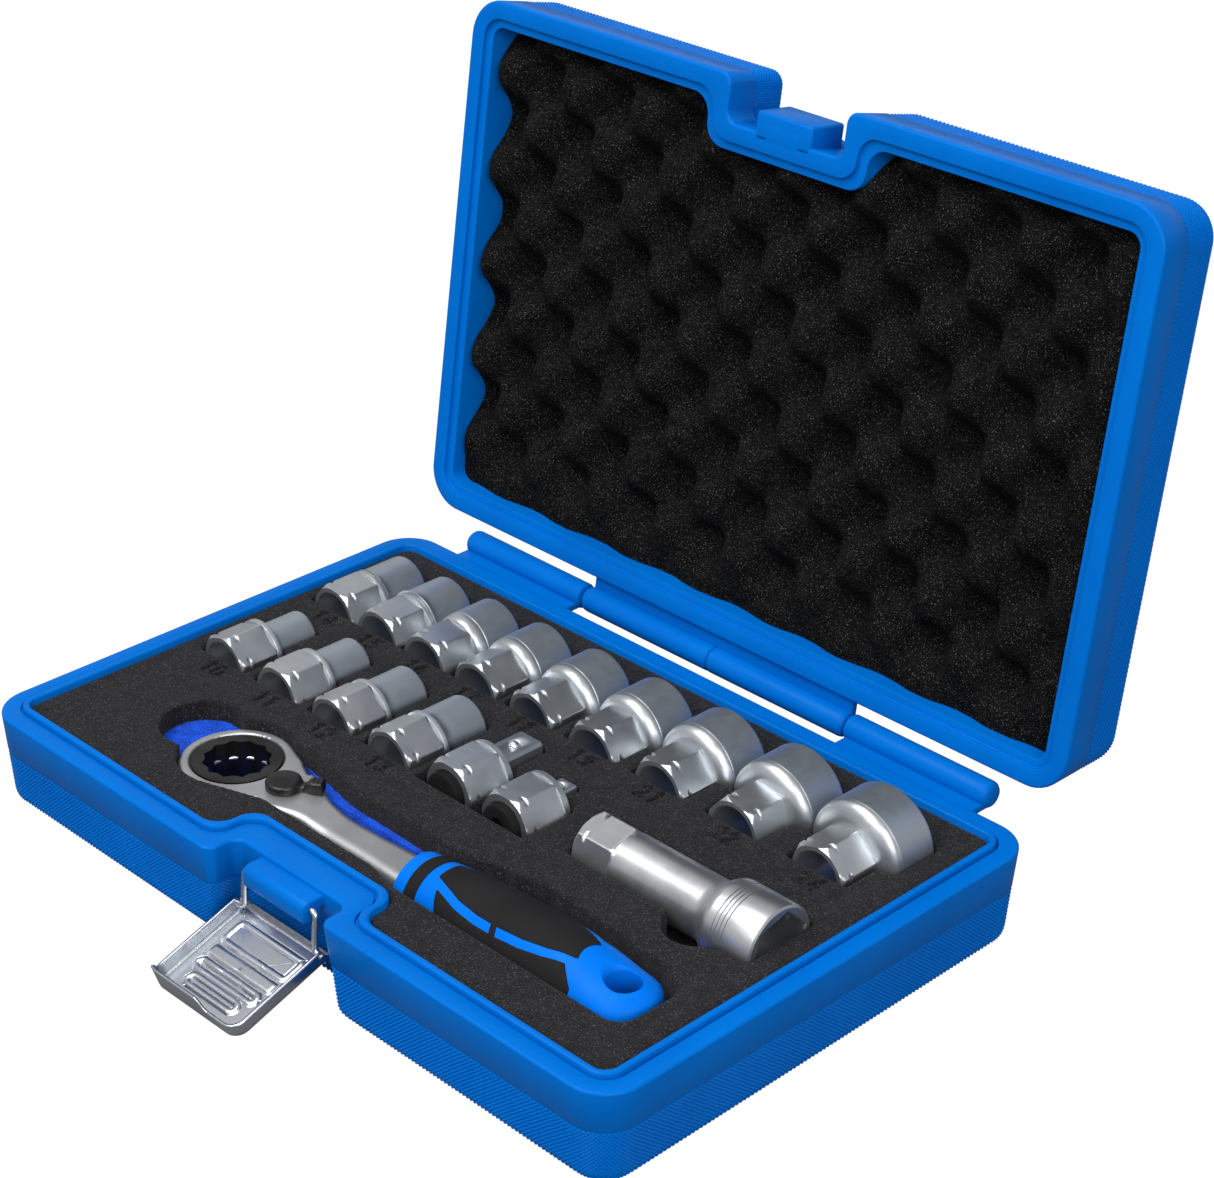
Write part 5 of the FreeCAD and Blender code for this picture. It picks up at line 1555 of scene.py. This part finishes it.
@dataclass
class Wrench:
    """The ratchet wrench: body, lever and two-part handle."""

    finishes: Finishes
    ring_x: float = PLAN.ring_x
    y: float = PLAN.y
    z: float = 20.6
    bore: float = 13.26
    lever_x: float = PLAN.lever_x
    lever_turn: float = 33
    lever_pad: float = 5.2
    lever_tail: float = 11.4
    lever_thick: float = 2.3
    lever_join: float = 2.2
    lever_bend: float = 0.7
    thick: float = 11.5
    neck_join: float = 7
    shank: float = 6
    shank_thick: float = 7
    handle_left: float = PLAN.handle_left
    handle_length: float = PLAN.handle_length
    handle_width: float = PLAN.handle_width
    handle_height: float = 22.4
    rubber: float = 0.35
    hang_x: float = 94.5
    hang: float = 4.7
    tilt_from: float = -30
    tilt: float = 0.028

    def lift(self, x: Array) -> Array:
        """How far the bent shank and the handle rise over the plane of the head."""
        run = np.clip(np.asarray(x) - self.tilt_from, 0, None)
        return self.tilt * run * run / (run + 8)

    def body(self) -> bpy.types.Object:
        """Head, neck and shank as one flowing forging."""
        xs = np.arange(-75, 27.1, 0.42)
        ys = np.arange(self.y - 18, self.y + 18.1, 0.42)

        def plan(px: Array, py: Array) -> Array:
            """How far inside the outline a place is."""
            pear = -PLAN.pear(px, py)
            half = self.shank + 0.8 * smooth(px, -5, 19)
            bar = np.minimum(half - np.abs(py - self.y), np.minimum(px - self.lever_x, 26 - px))
            both = merged(pear, bar, self.neck_join, px > self.lever_x)
            return np.minimum(both, np.hypot(px - self.ring_x, py - self.y) - self.bore)

        def crown(px: Array, py: Array) -> Array:
            """Half the thickness at a place."""
            drop = smooth(px, self.lever_x + 5, self.lever_x + 24)
            half = self.thick / 2 + (self.shank_thick / 2 + 0.4 - self.thick / 2) * drop
            bend = 1.3 + 2.0 * drop
            hole = np.hypot(px - self.ring_x, py - self.y) - self.bore
            bend = np.where(hole < 2.0, 0.5, bend)
            return half - bend * edge_drop(plan(px, py), bend)

        def top(px: Array, py: Array) -> Array:
            """The upper face."""
            return self.z + self.lift(px) + crown(px, py)

        def bottom(px: Array, py: Array) -> Array:
            """The lower face."""
            return self.z + self.lift(px) - crown(px, py)

        x, y = np.meshgrid(xs, ys, indexing="ij")
        skin = relief(xs, ys, plan(x, y), top, bottom)
        piece = skin.piece("wrench_forging", self.finishes["wrench_chrome"], 40)
        return hand_in(piece, "wrench", "wrench_chrome", "wrench_body")

    def lever(self) -> bpy.types.Object:
        """The reversing lever with its raised thumb tail."""
        low = self.z + self.thick / 2 + 0.15
        turn = math.radians(self.lever_turn)
        xs = np.arange(-7, 14, 0.3)
        ys = np.arange(-7, 7.1, 0.3)

        def plan(px: Array, py: Array) -> Array:
            """How far inside the outline a place is, in the lever's own frame."""
            pad = self.lever_pad - np.hypot(px, py)
            half = 1.5 + 0.5 * smooth(px, 5, 9)
            tail = np.minimum(half - np.abs(py), np.minimum(px, self.lever_tail - px))
            return merged(pad, tail, self.lever_join, 0.6)

        def top(px: Array, py: Array) -> Array:
            """The upper face."""
            dome = 0.5 * np.clip(1 - np.hypot(px, py) / self.lever_pad, 0, 1)
            saddle = -0.7 * np.exp(-((px - 5.6) / 1.3) ** 2)
            tail = 0.9 * smooth(px, 6, 8)
            ridge = 0.12 * np.cos(px * 5.2) * smooth(px, 7.4, 8)
            edge = self.lever_bend * edge_drop(plan(px, py), self.lever_bend)
            return low + self.lever_thick + dome + saddle + tail + ridge - edge

        x, y = np.meshgrid(xs, ys, indexing="ij")
        skin = relief(xs, ys, plan(x, y), top, level(low))
        place = Matrix.Translation((self.lever_x, self.y, 0)) @ Matrix.Rotation(turn, 4, "Z")
        piece = skin.moved(place).piece("thumb_lever", self.finishes["ring_black"], 40)
        return hand_in(piece, "reverser", "ring_black", "reversing_lever")

    def radii(self, x: Array) -> tuple[Array, Array]:
        """Half width and half height of the handle along its length."""
        share = (x - self.handle_left) / self.handle_length
        knots = (0.0, 0.1, 0.25, 0.5, 0.7, 0.8, 0.89, 1.0)
        wide = np.interp(share, knots, (0.82, 0.86, 0.95, 1.0, 1.0, 0.97, 0.92, 0.9))
        high = np.interp(share, knots, (0.8, 0.85, 0.95, 1.0, 0.95, 0.76, 0.6, 0.58))
        wide, high = blurred(wide, 12), blurred(high, 12)
        end = self.handle_left + self.handle_length - self.hang_x
        bulge = np.sqrt(np.clip(1 - (np.clip(x - self.hang_x, 0, None) / end) ** 2, 0.0005, 1))
        return wide * bulge * self.handle_width / 2, high * bulge ** 0.7 * self.handle_height / 2

    def hoop(self, x: Array, wide: Array, high: Array, angle: Array) -> Array:
        """Places on the handle, at turns from its top line."""
        return np.column_stack([x, self.y + wide * np.sin(angle), self.z + self.lift(x) + high * np.cos(angle)])

    def handle(self) -> None:
        """The blue core and the black overmould laid on it."""
        end = self.handle_left + self.handle_length - self.hang_x
        tip = self.hang_x + end * np.sin(np.linspace(0.02, 1.0, 50) * math.pi / 2)
        xs = np.concatenate([np.linspace(self.handle_left, self.hang_x, 260), tip])
        angles = np.radians(np.linspace(-180, 180, 161))
        wide, high = self.radii(xs)
        around = angles[:-1]
        rings = [self.hoop(np.full(len(around), x), w, h, around) for x, w, h in zip(xs, wide, high)]
        core = Skin().loft(rings, True, True).piece("handle_blue_core", self.finishes["handle_blue"], 50)
        self.hang_hole(core)
        hand_in(core, "wrench", "handle_blue", "handle_core")
        x, a = np.meshgrid(xs, angles, indexing="ij")
        value = self.pattern(x, a, wide[:, None])
        flat, faces, cuts = clip_grid(xs, angles, value)
        plan = np.array(flat)
        w = np.interp(plan[:, 0], xs, wide)
        h = np.interp(plan[:, 0], xs, high)
        edge = np.zeros(len(plan))
        edge[[i for cut in cuts for i in cut]] = 1

        def shell(lift: Array) -> Array:
            """The patch at a distance off the core."""
            return self.hoop(plan[:, 0], w + lift, h + lift, plan[:, 1])

        count = len(plan)
        upper = shell(self.rubber - 0.2 * edge)
        lower = shell(np.full(count, -0.4))
        every = list(faces) + [tuple(count + i for i in reversed(f)) for f in faces]
        every += [(q, p, count + p, count + q) for p, q in cuts]
        grip = Skin().add(np.concatenate([upper, lower]), every)
        piece = grip.piece("handle_soft_grip", self.finishes["grip_black"], 50)
        hand_in(piece, "wrench", "grip_black", "handle_grip")

    def pattern(self, x: Array, angle: Array, wide: Array) -> Array:
        """Above zero where the soft overmould lies.

        Args:
            x: places along the handle.
            angle: turn from the top line.
            wide: half width of the handle there.

        Returns:
            About the distance inside the overmould, in millimetres.
        """
        fold = np.minimum(np.abs(angle), math.pi - np.abs(angle))
        s = fold * wide
        band = np.minimum(x - 23.2, 27.6 - x)
        leaf = np.interp(x, (28, 34, 42, 50, 58, 66, 74, 80, 86), (2.6, 4.6, 7.2, 8.3, 8.5, 8.0, 6.6, 5.0, 3.2))
        oval = np.minimum(leaf - s, np.minimum(x - 31.2, 81.5 + 0.06 * s * s - x))
        strip = 2.5
        far = 33 + 3.5 * np.clip((s - 6) / 8, 0, 1)
        tail = 85.5 - 7.0 * np.clip(1 - (s - 5) / 7, 0, 1)
        side = np.minimum(s - leaf - strip, np.minimum(x - far, tail - x))
        bridge = np.minimum(1.0 - np.abs(x - 56 - 0.35 * (s - 8)), np.minimum(s - 4, 13 - s))
        return np.maximum(np.maximum(band, oval), np.maximum(side, bridge))

    def hang_hole(self, core: bpy.types.Object) -> None:
        """Cuts the hanging hole through the handle's end."""
        drill = Turned((self.hang_x, 0, self.y), "Y", 0)
        drill.rounds((-20, self.hang), (5.6, self.hang), (6.3, 4.85), (7.0, 5.4), (9, 7.5))
        skin = drill.skin()
        skin.points = [(p[0], p[2], self.z + float(self.lift(self.hang_x)) + p[1]) for p in skin.points]
        carve(core, skin.piece("hang_drill", self.finishes["handle_blue"]))

    def build(self) -> None:
        """Makes the wrench's pieces."""
        self.body()
        self.lever()
        self.handle()


# The latch


@dataclass
class Latch:
    """The pressed latch plate, hung on the wire bail."""

    half: float = 17.5
    near: float = 2
    far: float = -30.66
    floor: float = -3
    rim: float = 1.8
    hook: float = 5.1
    hem: float = -1.7
    sheet: float = 0.8
    bend: float = 1.6
    pitch: float = 19
    rod_y: float = -75.41
    rod_z: float = 13.24
    panel: tuple = ((-12.5, 12.5, -10.2, -3.2), 1.2)
    ridge: tuple = ((-12.5, 12.5, -15.6, -12.4), 0.7)
    slots: tuple = (((-12.5, 11.5, -20.6, -17.6), 1.5), ((-10.5, 9.0, -25.6, -22.4), 1.6))

    def plate(self, finish: bpy.types.Material) -> bpy.types.Object:
        """The plate with its walls, hook and pressed beads."""
        half, far, near = self.half, self.far, self.near
        corners = ((-half, far, 4.2), (half, far, 4.2), (half, near, 0.9), (-half, near, 0.9))
        coarse = rounded_corners(corners, 10)
        loop = self.even(coarse, 260)
        centre = np.array((0, (far + near) / 2))
        rings = []
        top = self.wall_top(loop)
        for share in (1, 0.75, 0.5, 0.25, 0):
            z = self.floor + self.bend + (top - self.floor - self.bend) * share
            rings.append(np.column_stack([loop, z]))
        inner = self.inside(loop)
        for k in range(1, 7):
            angle = math.radians(90 * k / 6)
            flat = loop + inner * self.bend * (1 - math.cos(angle))
            z = self.floor + self.bend * (1 - math.sin(angle))
            rings.append(np.column_stack([flat, np.full(len(loop), z)]))
        edge = loop + inner * self.bend
        for share in np.arange(1, 46) / 46:
            flat = edge + (centre - edge) * share
            rings.append(np.column_stack([flat, self.floor + self.beads(flat)]))
        skin = Skin().loft(rings, False, True)
        place = Matrix.Translation((0, self.rod_y, self.rod_z)) @ Matrix.Rotation(math.radians(self.pitch), 4, "X")
        piece = skin.moved(place).piece("pressed_latch_plate", finish, 60)
        wall = piece.modifiers.new("sheet", "SOLIDIFY")
        wall.thickness = self.sheet * MM
        wall.offset = 1.0 if self.faces_down(piece) else -1.0
        settle(piece, wall)
        return hand_in(piece, "plate", "zinc_steel", "latch_plate")

    def faces_down(self, piece: bpy.types.Object) -> bool:
        """Whether the floor's faces look down, so that the sheet grows inwards."""
        normal = sum((p.normal * p.area for p in piece.data.polygons), Vector())
        return normal.z > 0

    def even(self, loop: Array, count: int) -> Array:
        """A loop with evenly spaced points."""
        closed = np.vstack([loop, loop[:1]])
        runs = np.concatenate([[0], np.cumsum(np.linalg.norm(np.diff(closed, axis=0), axis=1))])
        spots = np.linspace(0, runs[-1], count, endpoint=False)
        return np.column_stack([np.interp(spots, runs, closed[:, k]) for k in range(2)])

    def inside(self, loop: Array) -> Array:
        """The inward direction at each point of a loop."""
        along = np.roll(loop, -1, axis=0) - np.roll(loop, 1, axis=0)
        along /= np.linalg.norm(along, axis=1)[:, None]
        return np.column_stack([-along[:, 1], along[:, 0]])

    def wall_top(self, loop: Array) -> Array:
        """The height of the wall round the plate: hem, flanges and hook."""
        x, y = loop[:, 0], loop[:, 1]
        flange = self.hem + (self.rim - self.hem) * smooth(-y, -1.4, 0.4)
        at_end = smooth(-y, -self.far - 3.6, -self.far - 1.2)
        wide = smooth(x, -17.6, -15.5) * (1 - smooth(x, 3.2, 6.2))
        return flange + (self.hook - self.rim) * at_end * wide

    def beads(self, flat: Array) -> Array:
        """The height of the pressed beads over the plate's floor."""
        x, y = flat[:, 0], flat[:, 1]
        frame = 1 - smooth(np.abs(rect_away(x, y, *self.panel)), 0.35, 0.8)
        height = 0.5 * smooth(-rect_away(x, y, *self.ridge), -0.3, 0.5) + 0.35 * frame
        for slot in self.slots:
            height = height + 0.65 * (1 - smooth(np.abs(rect_away(x, y, *slot)), 0.3, 0.75))
        return height


# Stage, light and camera


@dataclass
class Studio:
    """A pale floor, soft light and the photograph's camera."""

    focal_px: float = 2856.6
    middle_px: tuple = (596.32, 623.42)
    frame_px: tuple = (1214, 1178)
    azimuth: float = 45.172
    elevation: float = 28.797
    roll: float = 0.671
    distance: float = 790.74
    target: tuple = (-0.31, 39.75, 60.08)
    sensor: float = 36
    surround: float = 0.52
    floor_half: float = 6
    floor_drop: float = 0.0004

    def camera(self) -> None:
        """The camera, fitted to the case's edges."""
        a, e, r = (math.radians(v) for v in (self.azimuth, self.elevation, self.roll))
        back = Vector((math.sin(a) * math.cos(e), -math.cos(a) * math.cos(e), math.sin(e)))
        right = Vector((math.cos(a), math.sin(a), 0))
        up = back.cross(right)
        across = math.cos(r) * right + math.sin(r) * up
        upright = -math.sin(r) * right + math.cos(r) * up
        data = bpy.data.cameras.new("camera")
        wide = self.frame_px[0]
        data.sensor_width = self.sensor
        data.lens = self.focal_px * self.sensor / wide
        data.shift_x = (wide / 2 - self.middle_px[0]) / wide
        data.shift_y = (self.middle_px[1] - self.frame_px[1] / 2) / wide
        data.clip_start = 0.01
        made = put("camera", data)
        turn = Matrix((across, upright, back)).transposed().to_4x4()
        made.matrix_world = Matrix.Translation((Vector(self.target) + back * self.distance) * MM) @ turn
        bpy.context.scene.camera = made

    def lamp(self, name: str, place: tuple, aim: tuple, size: float, power: float) -> None:
        """One soft box."""
        data = bpy.data.lights.new(name, "AREA")
        data.size = size
        data.energy = power
        made = put(name, data)
        made.location = place
        made.rotation_euler = (Vector(aim) - Vector(place)).to_track_quat("-Z", "Y").to_euler()

    def floor(self) -> None:
        """A wide pale floor."""
        material = bpy.data.materials.new("pale_floor")
        material.use_nodes = True
        kit = NodeKit(material.node_tree)
        paint = kit.add("ShaderNodeBsdfDiffuse", {}, {"Color": (0.15, 0.15, 0.15, 1)})
        glow = kit.add("ShaderNodeEmission", {}, {"Color": (1, 1, 1, 1), "Strength": 1.1})
        seen = kit.add("ShaderNodeLightPath", output="Is Camera Ray")
        kit.end(kit.add("ShaderNodeMixShader", {}, {0: seen * 0.93, 1: paint, 2: glow}))
        mesh = bpy.data.meshes.new("floor")
        half = self.floor_half
        mesh.from_pydata([(-half, -half, 0), (half, -half, 0), (half, half, 0), (-half, half, 0)], [], [(0, 1, 2, 3)])
        mesh.materials.append(material)
        made = put("floor", mesh)
        made.location.z = -self.floor_drop

    def world(self) -> None:
        """A white surround."""
        world = bpy.data.worlds.new("studio")
        bpy.context.scene.world = world
        world.use_nodes = True
        kit = NodeKit(world.node_tree)
        seen = kit.add("ShaderNodeLightPath", output="Is Camera Ray")
        strength = kit.span(seen, 0, 1, self.surround, 1.0)
        sky = kit.add("ShaderNodeBackground", {}, {"Color": (1, 1, 1, 1), "Strength": strength})
        kit.end(sky, "ShaderNodeOutputWorld")

    def build(self) -> None:
        """Sets the stage."""
        self.camera()
        self.floor()
        self.world()
        self.lamp("key", (-0.25, -0.45, 1.1), (0, 0, 0.05), 0.7, 10.8)
        self.lamp("fill", (0.95, -0.5, 0.7), (0, 0, 0.08), 0.8, 9)
        self.lamp("front", (0.1, -1.0, 0.95), (0, 0.1, 0.15), 0.6, 4.5)
        bpy.context.scene.view_settings.view_transform = "Standard"


def dress_nodes(nodes: dict, finishes: Finishes) -> None:
    """Gives the nodes that stay as they are their finishes."""
    balls = [f"{tag}_adaptor_{part}" for part in ("ball", "spring") for tag in ("large", "small")]
    inner = ("hinge_pin", "bore_spring_ring", "pawl", "detent_ball", "detent_spring", "extension_spring_ring")
    chosen = {
        "zinc_steel": ("latch_bail",),
        "ring_black": ("ratchet_ring", "ring_retainer"),
        "bare_steel": (*inner, *balls),
    }
    for slot, names in chosen.items():
        for node in names:
            mesh = nodes[node].data
            mesh.materials.clear()
            mesh.materials.append(finishes[slot])
            log.info("%s: %s", node, slot)


def main() -> None:
    """Builds every piece in order; the pieces log their face counts."""
    logging.basicConfig(level=logging.INFO, format="%(message)s")
    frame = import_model()
    finishes = Finishes().build()
    Studio().build()
    case = Case()
    case.base(finishes["case_blue"])
    case.lid(finishes["case_blue"])
    case.knurl(finishes["case_blue"])
    foam = FoamSet(case)
    tools = Tools(finishes)
    tools.build()
    foam.crate(finishes["crate_foam"])
    foam.backing(finishes["blue_foam"], tools)
    foam.tray(finishes["black_foam"], tools)
    Wrench(finishes).build()
    Latch().plate(finishes["zinc_steel"])
    dress_nodes(frame["nodes"], finishes)


if __name__ == "__main__":
    main()
